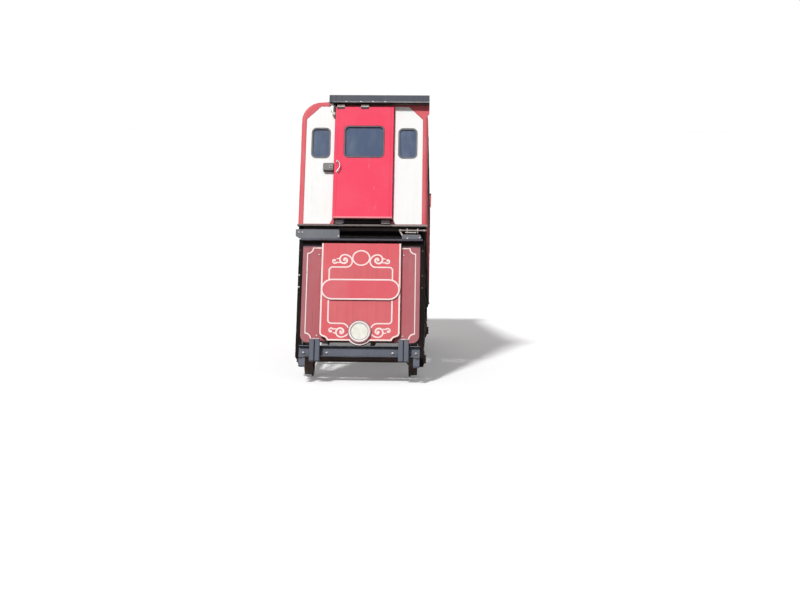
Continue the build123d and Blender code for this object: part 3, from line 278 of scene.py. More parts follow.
def new_group(name, inputs, outputs):
    """An empty shader group with named inputs and outputs, and the sockets to read and to feed."""
    group = bpy.data.node_groups.new(name, "ShaderNodeTree")
    for way, sockets in (("INPUT", inputs), ("OUTPUT", outputs)):
        for label, kind in sockets.items():
            group.interface.new_socket(label, in_out=way, socket_type="NodeSocket" + kind)
    entry = group.nodes.new("NodeGroupInput")
    leave = group.nodes.new("NodeGroupOutput")
    return group, entry.outputs, leave.inputs


colours = dict.fromkeys(("Paint", "Faded", "Dirt", "Under"), "Color")
amounts = dict.fromkeys(("Fading", "Streaks", "Dust", "Corners", "Chips", "Roughness"), "Float")
weather, given, put = new_group(
    "weather", {**colours, **amounts}, {"Colour": "Color", "Roughness": "Float", "Height": "Float"})
place = object_place(weather)
face = normal_of(weather)

patches = ramp(weather, noise(weather, place, PATCH_SCALE, 5.0), 0.42, 0.66)
colour = mixed(weather, product(weather, patches, given["Fading"]), given["Paint"], given["Faded"])

runs = ramp(weather, noise(weather, stretched(weather, place, RAIN_STRETCH), 1.0, 4.0), 0.50, 0.74)
broken = ramp(weather, noise(weather, place, BREAK_SCALE, 2.0), 0.38, 0.62)
streak = product(weather, runs, broken, given["Streaks"])
colour = mixed(weather, streak, colour, given["Dirt"])
print("weather group with sun and rain has", len(weather.nodes), "nodes")


# %% [markdown]
# Dust lies only where a face looks up, which the Z of the normal tells. The Ambient Occlusion node
# finds the corners, which the Dirt colour darkens as dirt and as painted shade, and the Bevel node finds
# the edges that get knocked, whatever triangles the CAD piece is made of. What the weather leaves is
# rougher, and a chip lies a little deeper than the paint.

# %% Weather group: dust, corners and chips
DUST = srgb(128, 120, 108)
DUST_SCALE = 9.0
OCCLUSION_REACH = 0.07
EDGE_RADIUS = 0.005
CHIP_SCALE = 42.0
CHIP_DEPTH = -1.5
GRIME_AND_SHADE_ROUGHNESS = 0.35
GLOSS_SCALE = 14.0
GLOSS_CHANGE = 0.05
SKIN_SCALE = 150.0

upward = axes_of(weather, face)["Z"]
lying = ramp(weather, noise(weather, place, DUST_SCALE, 4.0), 0.25, 0.6)
dust = product(weather, ramp(weather, upward, 0.25, 0.95), given["Dust"], lying)
colour = mixed(weather, dust, colour, DUST)

# Corners that the Ambient Occlusion node finds closed in take the Dirt colour: dirt and painted shade.
open_air = add(weather, "AmbientOcclusion", {"Distance": OCCLUSION_REACH}, samples=4).outputs["AO"]
corner = product(weather, ramp(weather, open_air, 0.75, 0.25), given["Corners"])
colour = mixed(weather, corner, colour, given["Dirt"])

rounded = add(weather, "Bevel", {"Radius": EDGE_RADIUS}, samples=4).outputs["Normal"]
edge = ramp(weather, vectors(weather, "DOT_PRODUCT", rounded, face, "Value"), 0.985, 0.90)
patchy = ramp(weather, noise(weather, place, CHIP_SCALE, 4.0, 0.7), 0.50, 0.62)
chip = product(weather, edge, patchy, given["Chips"])
weather.links.new(mixed(weather, chip, colour, given["Under"]), put["Colour"])

grime_and_shade = sums(weather, "ADD", sums(weather, "ADD", streak, corner), dust)
rougher = sums(weather, "MULTIPLY_ADD", grime_and_shade, GRIME_AND_SHADE_ROUGHNESS, given["Roughness"])
gloss = ramp(weather, noise(weather, place, GLOSS_SCALE), 0.3, 0.7, -GLOSS_CHANGE, GLOSS_CHANGE)
weather.links.new(sums(weather, "ADD", rougher, gloss), put["Roughness"])
weather.links.new(
    sums(weather, "MULTIPLY_ADD", chip, CHIP_DEPTH, noise(weather, place, SKIN_SCALE, 2.0)), put["Height"])
print("whole weather group has", len(weather.nodes), "nodes")


# %% [markdown]
# A brush leaves fine upright marks in coach paint, and they show on the boards as faint stripes. Noise
# that hardly changes with height gives them, and the boards mix them in by a mask.

# %% Brush marks group
brush, given, put = new_group("brush_marks", {"Marks per metre": "Float"}, {"Mask": "Float"})
upright = vectors(brush, "MULTIPLY", object_place(brush), (1.0, 1.0, 0.02))
fine = noise(brush, upright, given["Marks per metre"], roughness=0.5)
brush.links.new(ramp(brush, fine, 0.40, 0.66), put["Mask"])
print("brush group has", len(brush.nodes), "nodes")


# %% [markdown]
# Some pieces wear more than one colour: a pale lip, a black foot, the rings of the medallion. A mask by
# place says where each colour goes. It could be a picture on the piece, but a box or a ring measured
# in metres stays sharp from near by. Both masks are groups, and a material only gives the measures.

# %% Masks by place
ANYWHERE = 9.0
FULL_REACH = (-ANYWHERE, ANYWHERE)
BOX_SOFT = 4 * MM


def use_group(tree, group, inputs):
    """A group placed in a material with its own values, as its outputs."""
    placed = add(tree, "Group", node_tree=group)
    for name, value in inputs.items():
        if isinstance(value, bpy.types.NodeSocket):
            tree.links.new(value, placed.inputs[name])
        else:
            placed.inputs[name].default_value = value
    return placed.outputs


def short_of(tree, value, limit, soft):
    """1 below a limit and 0 above it, blurred by a soft width on both sides."""
    return ramp(tree, value, sums(tree, "ADD", limit, soft), sums(tree, "SUBTRACT", limit, soft))


def box_test(tree, half_size, centre, soft):
    """1 inside a box about a centre and 0 outside it."""
    away = axes_of(tree, vectors(tree, "ABSOLUTE", vectors(tree, "SUBTRACT", object_place(tree), centre)))
    half = axes_of(tree, half_size)
    return product(tree, *[short_of(tree, away[axis], half[axis], soft) for axis in "XYZ"])


box_mask, given, put = new_group(
    "box_mask", {"Half size": "Vector", "Centre": "Vector", "Soft": "Float"}, {"Mask": "Float"})
inside = box_test(box_mask, given["Half size"], given["Centre"], given["Soft"])
box_mask.links.new(inside, put["Mask"])

ring_mask, given, put = new_group(
    "ring_mask", {"Centre": "Vector", "Inner": "Float", "Outer": "Float", "Soft": "Float"}, {"Mask": "Float"})
from_centre = vectors(ring_mask, "SUBTRACT", object_place(ring_mask), given["Centre"])
flat = vectors(ring_mask, "MULTIPLY", from_centre, (1.0, 0.0, 1.0))
away = vectors(ring_mask, "LENGTH", flat, output="Value")
within_outer = short_of(ring_mask, away, given["Outer"], given["Soft"])
within_inner = short_of(ring_mask, away, given["Inner"], given["Soft"])
ring_mask.links.new(sums(ring_mask, "SUBTRACT", within_outer, within_inner), put["Mask"])


def between(tree, x=FULL_REACH, z=FULL_REACH, soft=BOX_SOFT):
    """1 where X and Z lie between two values each."""
    half = ((x[1] - x[0]) / 2, ANYWHERE, (z[1] - z[0]) / 2)
    measures = {"Half size": half, "Centre": (x[0] + half[0], 0.0, z[0] + half[2]), "Soft": soft}
    return use_group(tree, box_mask, measures)["Mask"]


def height_band(tree, low, high, soft=3 * MM):
    """1 between two heights and 0 above and below them."""
    return between(tree, z=(low, high), soft=soft)


def ring(tree, centre, inner, outer=ANYWHERE, soft=1.5 * MM):
    """1 between two radii about an axis along Y."""
    measures = {"Centre": centre, "Inner": inner, "Outer": outer, "Soft": soft}
    return use_group(tree, ring_mask, measures)["Mask"]


print("masks have", len(box_mask.nodes), "and", len(ring_mask.nodes), "nodes")


# %% [markdown]
# Every painted finish is the weather group in front of one Principled shader. What stays the same all
# over, such as the coat, is set on the shader itself.

# %% Painted finishes
DIRT = srgb(58, 48, 42)
PRIMER = srgb(150, 96, 80)
BARE_STEEL = srgb(120, 112, 104)
RUST = srgb(104, 62, 42)
PAINT_SKIN = 0.12 * MM
PAINT_WEATHER = {
    "dirt": DIRT, "under": PRIMER, "fading": 0.6, "streaks": 0.35, "dust": 0.4, "corners": 0.6,
    "chips": 0.5, "roughness": 0.42,
}


def new_finish(name):
    """An empty material, its tree and its Principled shader."""
    finish = bpy.data.materials.new(name)
    finish.use_nodes = True
    return finish, finish.node_tree, finish.node_tree.nodes["Principled BSDF"]


def bumped(tree, shader, height, distance):
    """Feeds a height to the shader as a bump."""
    bump = add(tree, "Bump", {"Height": height, "Distance": distance})
    tree.links.new(bump.outputs["Normal"], shader.inputs["Normal"])


def weathered(tree, shader, over=None, **values):
    """Feeds the weather group to a shader and gives its height. The values carry the names of its
    sockets in small letters, and over(tree, colour) may paint over the weathered colour."""
    aged = use_group(tree, weather, {name.capitalize(): value for name, value in values.items()})
    colour = over(tree, aged["Colour"]) if over else aged["Colour"]
    tree.links.new(colour, shader.inputs["Base Color"])
    tree.links.new(aged["Roughness"], shader.inputs["Roughness"])
    return aged["Height"]


def painted(name, paint, faded, coat=0.0, specular=0.25, recolour=None, **changes):
    """Weathered paint. recolour(tree, paint) may change the paint before the weather gets to it."""
    finish, tree, shader = new_finish(name)
    fresh = recolour(tree, paint) if recolour else paint
    height = weathered(tree, shader, paint=fresh, faded=faded, **{**PAINT_WEATHER, **changes})
    shader.inputs["Specular IOR Level"].default_value = specular
    shader.inputs["Coat Weight"].default_value = coat
    shader.inputs["Coat Roughness"].default_value = 0.2
    bumped(tree, shader, height, PAINT_SKIN)
    return finish


print("paint is weathered by", list(PAINT_WEATHER))


# %% [markdown]
# The cabin is coach red outside and cream inside. The thin wall could get a second skin for the room,
# but a mask by place does it: cream goes on whatever lies in the room's box and looks into it. The
# doors hang outside that box and stay red on both faces. Their paint has pale scuffs from hands and
# luggage and a pale band along the bottom edge that is a painted highlight, and the end frames get
# painted shade, near black, in the shadow under the doors.

# %% Cabin paints
CABIN_HALF = (0.9465, 2.1065, 1.10)
CABIN_MIDDLE = (0.0, 0.0, 2.52)
CREAM = srgb(224, 214, 190)
COACH_RED = srgb(221, 101, 108)
COACH_RED_FADED = srgb(221, 122, 127)
DOOR_RED = srgb(247, 72, 102)
DOOR_RED_FADED = srgb(247, 90, 114)
DOOR_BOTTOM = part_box("lower_door")[0].z
DOOR_LIP = 24 * MM
# Near black for painted shade, where parts lie in shade under other parts.
UNDERSIDE_SHADE = srgb(38, 16, 16)
SHADE_UNDER_DOORS_X = (-0.445, 0.512)

room_paint, given, put = new_group("room_paint", {"Outside": "Color", "Inside": "Color"}, {"Colour": "Color"})
outward = vectors(room_paint, "SUBTRACT", object_place(room_paint), CABIN_MIDDLE)
looks_in = vectors(room_paint, "DOT_PRODUCT", normal_of(room_paint), outward, "Value")
in_room = box_test(room_paint, CABIN_HALF, CABIN_MIDDLE, BOX_SOFT)
room = product(room_paint, in_room, ramp(room_paint, looks_in, 0.02, -0.02))
room_paint.links.new(mixed(room_paint, room, given["Outside"], given["Inside"]), put["Colour"])


def cream_inside(tree, paint):
    """The outer paint, with cream on whatever looks into the room that the shell encloses."""
    return use_group(tree, room_paint, {"Outside": paint, "Inside": CREAM})["Colour"]


def scuffs_and_lit_lip(tree, paint):
    """Door paint with a few faint slanted scuffs and a pale band along the bottom, a painted highlight."""
    slant = add(tree, "Mapping", {
        "Vector": object_place(tree), "Rotation": (0, math.radians(14), 0), "Scale": (30, 10, 5)})
    marks = ramp(tree, noise(tree, slant.outputs["Vector"], 1.0, 2.0, 0.4), 0.70, 0.78)
    colour = mixed(tree, product(tree, marks, 0.3), paint, srgb(250, 170, 180))
    # Painted highlight: the bottom DOOR_LIP of the leaf is pale as if lit along its edge.
    return mixed(tree, height_band(tree, 0.0, DOOR_BOTTOM + DOOR_LIP), colour, srgb(240, 150, 160))


def shade_under_doors(tree, paint):
    """The end frames' paint, with painted shade, near black, under the doors."""
    # Painted shade, near black, below the door's bottom edge.
    feet = between(tree, SHADE_UNDER_DOORS_X, (0.0, DOOR_BOTTOM))
    return mixed(tree, feet, cream_inside(tree, paint), UNDERSIDE_SHADE)


coach_red = painted(
    "coach_red", COACH_RED, COACH_RED_FADED, fading=0.5, streaks=0.2, chips=0.2, roughness=0.4, specular=0.08,
    recolour=shade_under_doors)
side_red = painted(
    "side_red", COACH_RED, COACH_RED_FADED, fading=0.5, streaks=0.25, chips=0.2, roughness=0.6, specular=0.0,
    recolour=cream_inside)
door_red = painted(
    "door_red", DOOR_RED, DOOR_RED_FADED, fading=0.35, streaks=0.08, chips=0.15, roughness=0.34,
    specular=0.12, recolour=scuffs_and_lit_lip)
panel_white = painted(
    "panel_white", srgb(248, 248, 247), srgb(245, 245, 242), dirt=srgb(150, 142, 130),
    under=srgb(190, 184, 172), fading=0.5, streaks=0.08, corners=0.35, chips=0.2, roughness=0.36,
    specular=0.2)
roof_paint = painted(
    "roof_paint", srgb(146, 148, 151), srgb(158, 159, 158), streaks=0.4, dust=0.22, chips=0.4, roughness=0.55,
    recolour=cream_inside)
cabin_paints = (coach_red, side_red, door_red, panel_white, roof_paint)
print("cabin paints", [finish.name for finish in cabin_paints])


# %% [markdown]
# The steelwork has two coats. What shows at the front is blue-grey, and the frame behind it is nearly
# black. The beam below and the rail on top are one CAD piece, so a mask by height gives the rail a
# darker grey of painted shade. The track cover has a folded lip with a pale band along it, a painted
# highlight, and the lock has a pale ring round its button and painted shade along its lower edge.

# %% Frame paints
FRAME_BLUE = srgb(94, 99, 111)
FRAME_BLACK = srgb(17, 11, 11)
# The rail's darker grey is painted shade.
RAIL_SHADE_GREY = srgb(74, 72, 83)
TOP_RAIL_FROM = 1.0
cover_low, cover_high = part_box("door_track_covers")
COVER_LIP_TOP = cover_low.z + 14 * MM
COVER_LIP_FROM = -0.49
lock_low, lock_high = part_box("door_locks")
BUTTON_AT = (-0.508, 0.0, (lock_low.z + lock_high.z) / 2)
BUTTON_R = 17 * MM
BUTTON_RING_R = 27 * MM
LOCK_SHADE_EDGE = 12 * MM

# The painted shade on what looks down is its own group, since five finishes have it. Its Dirt input
# takes the colour of that shade.
below_shade, given, put = new_group("below_shade", {"Paint": "Color", "Dirt": "Color"}, {"Colour": "Color"})
looks_down = ramp(below_shade, axes_of(below_shade, normal_of(below_shade))["Z"], -0.5, -0.8)
below_shade.links.new(mixed(below_shade, looks_down, given["Paint"], given["Dirt"]), put["Colour"])


def dark_below(tree, paint):
    """The paint, with painted shade on what looks down."""
    return use_group(tree, below_shade, {"Paint": paint, "Dirt": UNDERSIDE_SHADE})["Colour"]


def top_rail_shade(tree, paint):
    """The beam's paint, with painted shade on the rail above the sign and on what looks down."""
    return dark_below(tree, mixed(tree, height_band(tree, TOP_RAIL_FROM, ANYWHERE), paint, RAIL_SHADE_GREY))


def lip_highlight(tree, paint):
    """The cover's paint, with a painted highlight along the lip's lower edge and painted shade on what looks
    down.
    """
    lit_lip = between(tree, (COVER_LIP_FROM, cover_high.x), (cover_low.z - 1 * MM, COVER_LIP_TOP + 1 * MM))
    return dark_below(tree, mixed(tree, lit_lip, paint, srgb(158, 156, 158)))


def lock_marks(tree, paint):
    """The lock's paint with a pale ring round the button and painted shade along its lower edge."""
    ringed = mixed(tree, ring(tree, BUTTON_AT, BUTTON_R, BUTTON_RING_R), paint, srgb(190, 188, 186))
    hollow = mixed(tree, ring(tree, BUTTON_AT, -BUTTON_R, BUTTON_R), ringed, srgb(66, 62, 62))
    return mixed(tree, height_band(tree, 0.0, lock_low.z + LOCK_SHADE_EDGE), hollow, srgb(72, 68, 68))


frame_blue = painted(
    "frame_blue", FRAME_BLUE, srgb(102, 106, 116), under=RUST, streaks=0.45, chips=0.5, roughness=0.5,
    specular=0.2)
# Corners at 1.0 darken the web under the beam's flange: painted shade as well as dirt.
beam_blue = painted(
    "beam_blue", FRAME_BLUE, srgb(102, 107, 117), under=RUST, streaks=0.45, corners=1.0, chips=0.5,
    roughness=0.5, specular=0.2, recolour=top_rail_shade)
apron_grey = painted(
    "apron_grey", srgb(104, 107, 113), srgb(114, 117, 121), under=RUST, streaks=0.3, chips=0.5,
    roughness=0.48)
cover_grey = painted(
    "cover_grey", srgb(76, 80, 90), srgb(86, 89, 98), under=srgb(150, 148, 148), streaks=0.35, chips=0.4,
    roughness=0.5, specular=0.2, recolour=lip_highlight)
frame_black = painted(
    "frame_black", FRAME_BLACK, srgb(32, 22, 20), dirt=srgb(14, 10, 8), under=RUST, fading=0.8, streaks=0.5,
    dust=0.3, chips=0.5, roughness=0.62, specular=0.08)
lock_grey = painted(
    "lock_grey", srgb(124, 121, 121), srgb(134, 131, 131), under=srgb(180, 178, 174), streaks=0.2, chips=0.6,
    roughness=0.42, recolour=lock_marks)
print("frame paints ready")


# %% [markdown]
# The sign's boards are brushed by hand. The middle of the centre board, inside the lining, is a little
# duller than its border, and the board behind it has faded to a dusty pink that greys at its edges.
# Painted shade darkens what looks down, the back board's top under the rail and the back board below
# the centre board.

# %% Sign paints
sign_low, sign_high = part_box("sign_centre_board")
back_low, back_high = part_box("sign_back_board")
plate_low, plate_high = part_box("name_plate")
medal_low, medal_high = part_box("medallion")
MEDAL_Z = (medal_low.z + medal_high.z) / 2
MEDAL_R = (medal_high.x - medal_low.x) / 2
PANEL_HALF_W = 0.478
PANEL_TOP = 0.876
PANEL_BOTTOM = MEDAL_Z + 0.130
BACK_SHADE_BELOW_TOP = 0.022
BACK_DARK_BELOW = -0.262
BOARD_BRIGHT = srgb(223, 96, 104)
BOARD_INNER = srgb(215, 103, 109)
BOARD_DULL = srgb(184, 98, 105)
BOARD_DULL_EDGE = srgb(158, 110, 114)
BRUSH_MARKS = 55.0


def brushed(tree, paint, darker, amount):
    """Paint with the faint upright stripes of a brush."""
    stripes = use_group(tree, brush, {"Marks per metre": BRUSH_MARKS})["Mask"]
    return mixed(tree, product(tree, stripes, amount), paint, darker)


def sign_face(tree, paint):
    """The centre board: bright outside the lining, duller inside it, and painted shade on what looks down."""
    inner = between(tree, (-PANEL_HALF_W, PANEL_HALF_W), (PANEL_BOTTOM, PANEL_TOP))
    base = mixed(tree, inner, paint, BOARD_INNER)
    return dark_below(tree, brushed(tree, base, srgb(204, 96, 102), 0.45))


def back_face(tree, paint):
    """The back board: dusty, greyer towards its outer edges, with a painted shadow along its top and painted
    shade below the centre board.
    """
    aside = sums(tree, "ABSOLUTE", axes_of(tree, object_place(tree))["X"], 0.0)
    outer = ramp(tree, aside, back_high.x - 0.16, back_high.x - 0.02)
    base = mixed(tree, product(tree, outer, 0.7), paint, BOARD_DULL_EDGE)
    base = brushed(tree, base, srgb(172, 98, 104), 0.4)
    # Painted shadow of the rail above, along the back board's top.
    shaded = height_band(tree, back_high.z - BACK_SHADE_BELOW_TOP, ANYWHERE, 6 * MM)
    base = mixed(tree, shaded, base, srgb(96, 76, 84))
    # Painted shade on the back board below the centre board.
    below_board_shade = between(tree, (-sign_high.x, sign_high.x), (BACK_DARK_BELOW - 2.0, BACK_DARK_BELOW), 8 * MM)
    return mixed(tree, below_board_shade, base, UNDERSIDE_SHADE)


board_bright = painted(
    "board_bright", BOARD_BRIGHT, srgb(224, 114, 120), fading=0.4, streaks=0.12, corners=0.5, chips=0.3,
    roughness=0.42, specular=0.15, recolour=sign_face)
board_dull = painted(
    "board_dull", BOARD_DULL, srgb(186, 116, 121), fading=0.5, streaks=0.2, corners=0.6, chips=0.3,
    roughness=0.5, specular=0.15, recolour=back_face)
# The name plate gets painted shade on what looks down.
plate_red = painted(
    "plate_red", srgb(221, 92, 103), srgb(217, 108, 116), fading=0.8, streaks=0.12, corners=0.3, chips=0.3,
    roughness=0.4, specular=0.2, recolour=dark_below)
line_white = painted(
    "line_white", srgb(250, 232, 228), srgb(245, 218, 214), dirt=srgb(150, 100, 96),
    under=srgb(210, 130, 130), fading=0.4, streaks=0.1, corners=0.0, chips=0.0, roughness=0.4, specular=0.15)
print("sign paints ready")


# %% [markdown]
# The medallion is a round cast plate: a bare cream disc inside a grey ring and a white ring, with a
# rim of painted shade round them. It could be made of three pieces, but one plate with painted rings is
# how it is cast. The rings follow the distance from the middle, so they stay round whatever the mesh.

# %% Medallion finish
MEDAL_DISC_R = 0.125
MEDAL_GREY_R = 0.136
MEDAL_WHITE_R = 0.160


def medallion_rings(tree, paint):
    """Cream disc, grey ring, white ring and a rim of painted shade, by the distance from the middle."""
    cloudy = ramp(tree, noise(tree, object_place(tree), 16.0), 0.35, 0.65)
    colour = mixed(tree, cloudy, paint, srgb(232, 229, 216))
    # The tone from MEDAL_WHITE_R outwards is painted shade on the rim.
    for start, tone in ((MEDAL_DISC_R, srgb(168, 166, 170)), (MEDAL_GREY_R, srgb(240, 232, 230)),
                        (MEDAL_WHITE_R, srgb(150, 104, 112))):
        colour = mixed(tree, ring(tree, (0.0, 0.0, MEDAL_Z), start), colour, tone)
    return colour


medallion_finish = painted(
    "medallion_finish", srgb(242, 242, 234), srgb(232, 230, 220), fading=0.3, streaks=0.1, corners=0.3,
    chips=0.1, roughness=0.32, coat=0.1, recolour=medallion_rings)
print("medallion radius", round(MEDAL_R, 3), "height", round(MEDAL_Z, 3))


# %% [markdown]
# Bare metals: the fittings are worn bright steel, the sills aluminium, the wheels rolled steel, and
# the axle boxes are castings. What tells them apart close by is the grain: drawn bars show lines and
# castings show pits. One group makes both, by how far its noise is stretched along each axis. Metallic
# stays plain, and the colour and the roughness carry the wear.

# %% Bare metals
METAL_WEATHER = {"fading": 0.8, "streaks": 0.3, "dust": 0.2, "corners": 0.8, "chips": 0.6}

metal_grain, given, put = new_group("metal_grain", {"Stretch": "Vector"}, {"Height": "Float"})
drawn = stretched(metal_grain, object_place(metal_grain), given["Stretch"])
metal_grain.links.new(noise(metal_grain, drawn, 1.0), put["Height"])


def bare_metal(name, metal, dull, dirt, roughness, metallic, grain, depth=0.1 * MM, over=None, **changes):
    """Metal with a drawn or cast grain, tarnish in patches and dirt in its corners."""
    finish, tree, shader = new_finish(name)
    values = {"paint": metal, "faded": dull, "dirt": dirt, "under": metal, "roughness": roughness}
    weathered(tree, shader, over, **{**values, **METAL_WEATHER, **changes})
    shader.inputs["Metallic"].default_value = metallic
    bumped(tree, shader, use_group(tree, metal_grain, {"Stretch": grain})["Height"], depth)
    return finish


bright_steel = bare_metal(
    "bright_steel", srgb(214, 208, 204), srgb(176, 168, 162), srgb(70, 58, 50), 0.34, 0.6,
    (30.0, 30.0, 260.0))
shaft_steel = bare_metal(
    "shaft_steel", srgb(158, 148, 144), srgb(98, 84, 78), srgb(46, 36, 32), 0.48, 0.35, (30.0, 160.0, 160.0))
cast_iron = bare_metal(
    "cast_iron", srgb(64, 58, 56), srgb(84, 62, 50), srgb(28, 22, 18), 0.66, 0.3,
    (120.0, 120.0, 120.0), 0.6 * MM)
# The wheels' near-black colour is dark steel and painted shade for the shadow under the car.
wheel_steel = bare_metal(
    "wheel_steel", srgb(40, 32, 29), srgb(66, 44, 34), srgb(20, 15, 12), 0.6, 0.35,
    (70.0, 70.0, 70.0), 0.5 * MM, under=BARE_STEEL, streaks=0.2, dust=0.15, corners=0.6)
print("bare metals", [metal.name for metal in (bright_steel, shaft_steel, cast_iron, wheel_steel)])


# %% [markdown]
# The metal round the door is painted in bands. The feet are dark above their toes and the hanger
# plates dark above and below a bright band: painted shade under the door and under the cover. The stop
# is cream like the panel behind it, with an edge that is dark in its upper part, and the sill is paler
# beyond the doorway on the side where the door is parked. Masks by place put each band on.

# %% Metals round the door
FEET_SHADE = (1.586, 1.80)
HANGER_FOOT_SHADE = (3.40, 3.503)
HANGER_HEAD_SHADE = (3.536, 3.70)
STOP_LEFT = (-0.58, -0.495)
STOP_EDGE = (-0.495, -0.460)
STOP_EDGE_BOTTOM = 3.405
SILL_PALE_FROM = 0.46


def shaded_stems(tree, metal):
    """The door's fittings: painted shade on the feet above their pale toes, on the hanger plates above and
    below a bright band, and on what looks down.
    """
    # Painted shade in each band.
    for low, high in (FEET_SHADE, HANGER_FOOT_SHADE, HANGER_HEAD_SHADE):
        metal = mixed(tree, height_band(tree, low, high), metal, srgb(46, 36, 40))
    return dark_below(tree, metal)


def pale_stop(tree, metal):
    """The track's stop arm: cream like the panel behind it, with an edge beside the door that is dark in its
    upper part.
    """
    for reach, low, colour in (
        (STOP_LEFT, 0.0, srgb(222, 218, 208)), (STOP_EDGE, 0.0, srgb(150, 146, 140)),
        (STOP_EDGE, STOP_EDGE_BOTTOM, srgb(30, 22, 24)),
    ):
        metal = mixed(tree, between(tree, reach, (low, low + ANYWHERE), 2 * MM), metal, colour)
    return metal


def sill_paler_right(tree, metal):
    """The sill, paler beyond the doorway on the side where the door is parked."""
    return mixed(tree, between(tree, (SILL_PALE_FROM, ANYWHERE), soft=20 * MM), metal, srgb(119, 113, 110))


door_steel = bare_metal(
    "door_steel", srgb(204, 198, 194), srgb(170, 162, 156), srgb(70, 58, 50), 0.34, 0.5, (30.0, 30.0, 260.0),
    over=shaded_stems)
track_steel = bare_metal(
    "track_steel", srgb(92, 86, 84), srgb(74, 66, 62), srgb(50, 42, 38), 0.45, 0.3, (160.0, 30.0, 160.0),
    over=pale_stop)
sill_metal = bare_metal(
    "sill_metal", srgb(96, 87, 86), srgb(78, 69, 67), srgb(40, 33, 30), 0.5, 0.3, (14.0, 160.0, 160.0),
    over=sill_paler_right)
print("metals round the door", [metal.name for metal in (door_steel, track_steel, sill_metal)])


# %% [markdown]
# Window rubber is matt and dusty, and chalks to a pale bloom. The ends' rubbers have chalked most and
# those along the sides are still black, so a mask by place keeps them so.

# %% Rubber
SIDE_RUBBER_FROM = 0.93
SIDE_RUBBER = srgb(28, 21, 23)
RUBBER_WEATHER = {
    "dirt": srgb(40, 36, 34), "fading": 0.7, "streaks": 0.3, "dust": 0.5, "corners": 0.3, "chips": 0.5}


def black_at_sides(tree, colour):
    """The colour on the ends' rubbers, and black on the sides' rubbers."""
    return mixed(tree, between(tree, (-SIDE_RUBBER_FROM, SIDE_RUBBER_FROM)), SIDE_RUBBER, colour)


def rubber(name, colour, chalk, roughness=0.7, specular=0.5):
    """Matt rubber with a chalky bloom and a moulded skin."""
    finish, tree, shader = new_finish(name)
    height = weathered(
        tree, shader, black_at_sides, paint=colour, faded=chalk, under=chalk, roughness=roughness,
        **RUBBER_WEATHER)
    shader.inputs["Specular IOR Level"].default_value = specular
    bumped(tree, shader, height, 0.2 * MM)
    return finish


window_grey = rubber("window_grey", srgb(96, 97, 100), srgb(120, 120, 120))
door_seal = rubber("door_seal", srgb(66, 44, 58), srgb(92, 66, 78))
mount_rubber = rubber("mount_rubber", srgb(30, 29, 29), srgb(56, 54, 52))
# Near black, as painted shade in the gap under the doors.
sweep_shade_black = rubber("sweep_shade_black", srgb(13, 9, 10), srgb(24, 17, 18), 0.8, 0.05)
print("rubbers", [finish.name for finish in (window_grey, door_seal, mount_rubber, sweep_shade_black)])


# %% [markdown]
# The glass's blue-grey colour is a painted reflection of a hazy sky, with the room only guessed
# behind it. The transmission is one plain number, and faint smears change only the roughness and the
# tint.

# %% Glass
GLASS_SKY_REFLECTION = srgb(94, 113, 148)
GLASS_SMEARED_SKY = srgb(122, 138, 164)


def window_pane():
    """Glass coloured with a painted reflection of a hazy blue-grey sky, with faint smears."""
    finish, tree, shader = new_finish("window_pane")
    place = object_place(tree)
    smear = ramp(tree, noise(tree, stretched(tree, place, (4, 4, 1.6)), 1.0), 0.38, 0.70)
    tree.links.new(mixed(tree, smear, GLASS_SKY_REFLECTION, GLASS_SMEARED_SKY), shader.inputs["Base Color"])
    tree.links.new(ramp(tree, smear, 0.0, 1.0, 0.06, 0.20), shader.inputs["Roughness"])
    shader.inputs["Transmission Weight"].default_value = 0.4
    shader.inputs["IOR"].default_value = 1.45
    bumped(tree, shader, noise(tree, place, 3.0, 1.0), 0.3 * MM)
    return finish


glass = window_pane()
print("glass is", glass.name)


# %% [markdown]
# Inside, the benches are varnished boards and the floor is studded rubber. Wood grain is noise that is
# stretched along the board and bent a little, and the studs are a grid of round dots made from the
# place on the floor.

# %% Timber and floor
def bench_timber():
    """Varnished wood whose grain runs along the bench."""
    finish, tree, shader = new_finish("bench_timber")
    along = stretched(tree, object_place(tree), (30, 1.6, 30))
    bent = add(tree, "TexNoise", {"Vector": along, "Scale": 1.0, "Detail": 5.0, "Distortion": 0.8})
    grain = bent.outputs["Fac"]
    weathered(
        tree, shader, paint=mixed(tree, ramp(tree, grain, 0.32, 0.68), srgb(122, 74, 40), srgb(168, 112, 66)),
        faded=srgb(140, 96, 60), dirt=DIRT, under=srgb(186, 140, 96), fading=0.4, streaks=0.0, dust=0.2,
        corners=0.7, chips=0.7, roughness=0.34)
    shader.inputs["Coat Weight"].default_value = 0.3
    bumped(tree, shader, grain, 0.3 * MM)
    return finish


def studded_floor():
    """Dark floor covering with small round studs."""
    finish, tree, shader = new_finish("studded_floor")
    cells = add(tree, "TexVoronoi", {"Vector": object_place(tree), "Scale": 28.0, "Randomness": 0.0})
    stud = ramp(tree, cells.outputs["Distance"], 0.36, 0.26)
    weathered(
        tree, shader, paint=mixed(tree, stud, srgb(44, 46, 50), srgb(64, 66, 70)), faded=srgb(78, 76, 74),
        dirt=DIRT, under=srgb(90, 88, 86), fading=0.7, streaks=0.0, dust=0.6, corners=0.7, chips=0.4,
        roughness=0.62)
    bumped(tree, shader, stud, 1.2 * MM)
    return finish


bench_wood = bench_timber()
deck_cover = studded_floor()
print("inside are", bench_wood.name, "and", deck_cover.name)


# %% [markdown]
# Each CAD node gets the finish that its real piece has. The list follows the car from the cabin down
# to the wheels. A table is easier to check than a line of code for each piece, and the print names any
# node that it forgets.

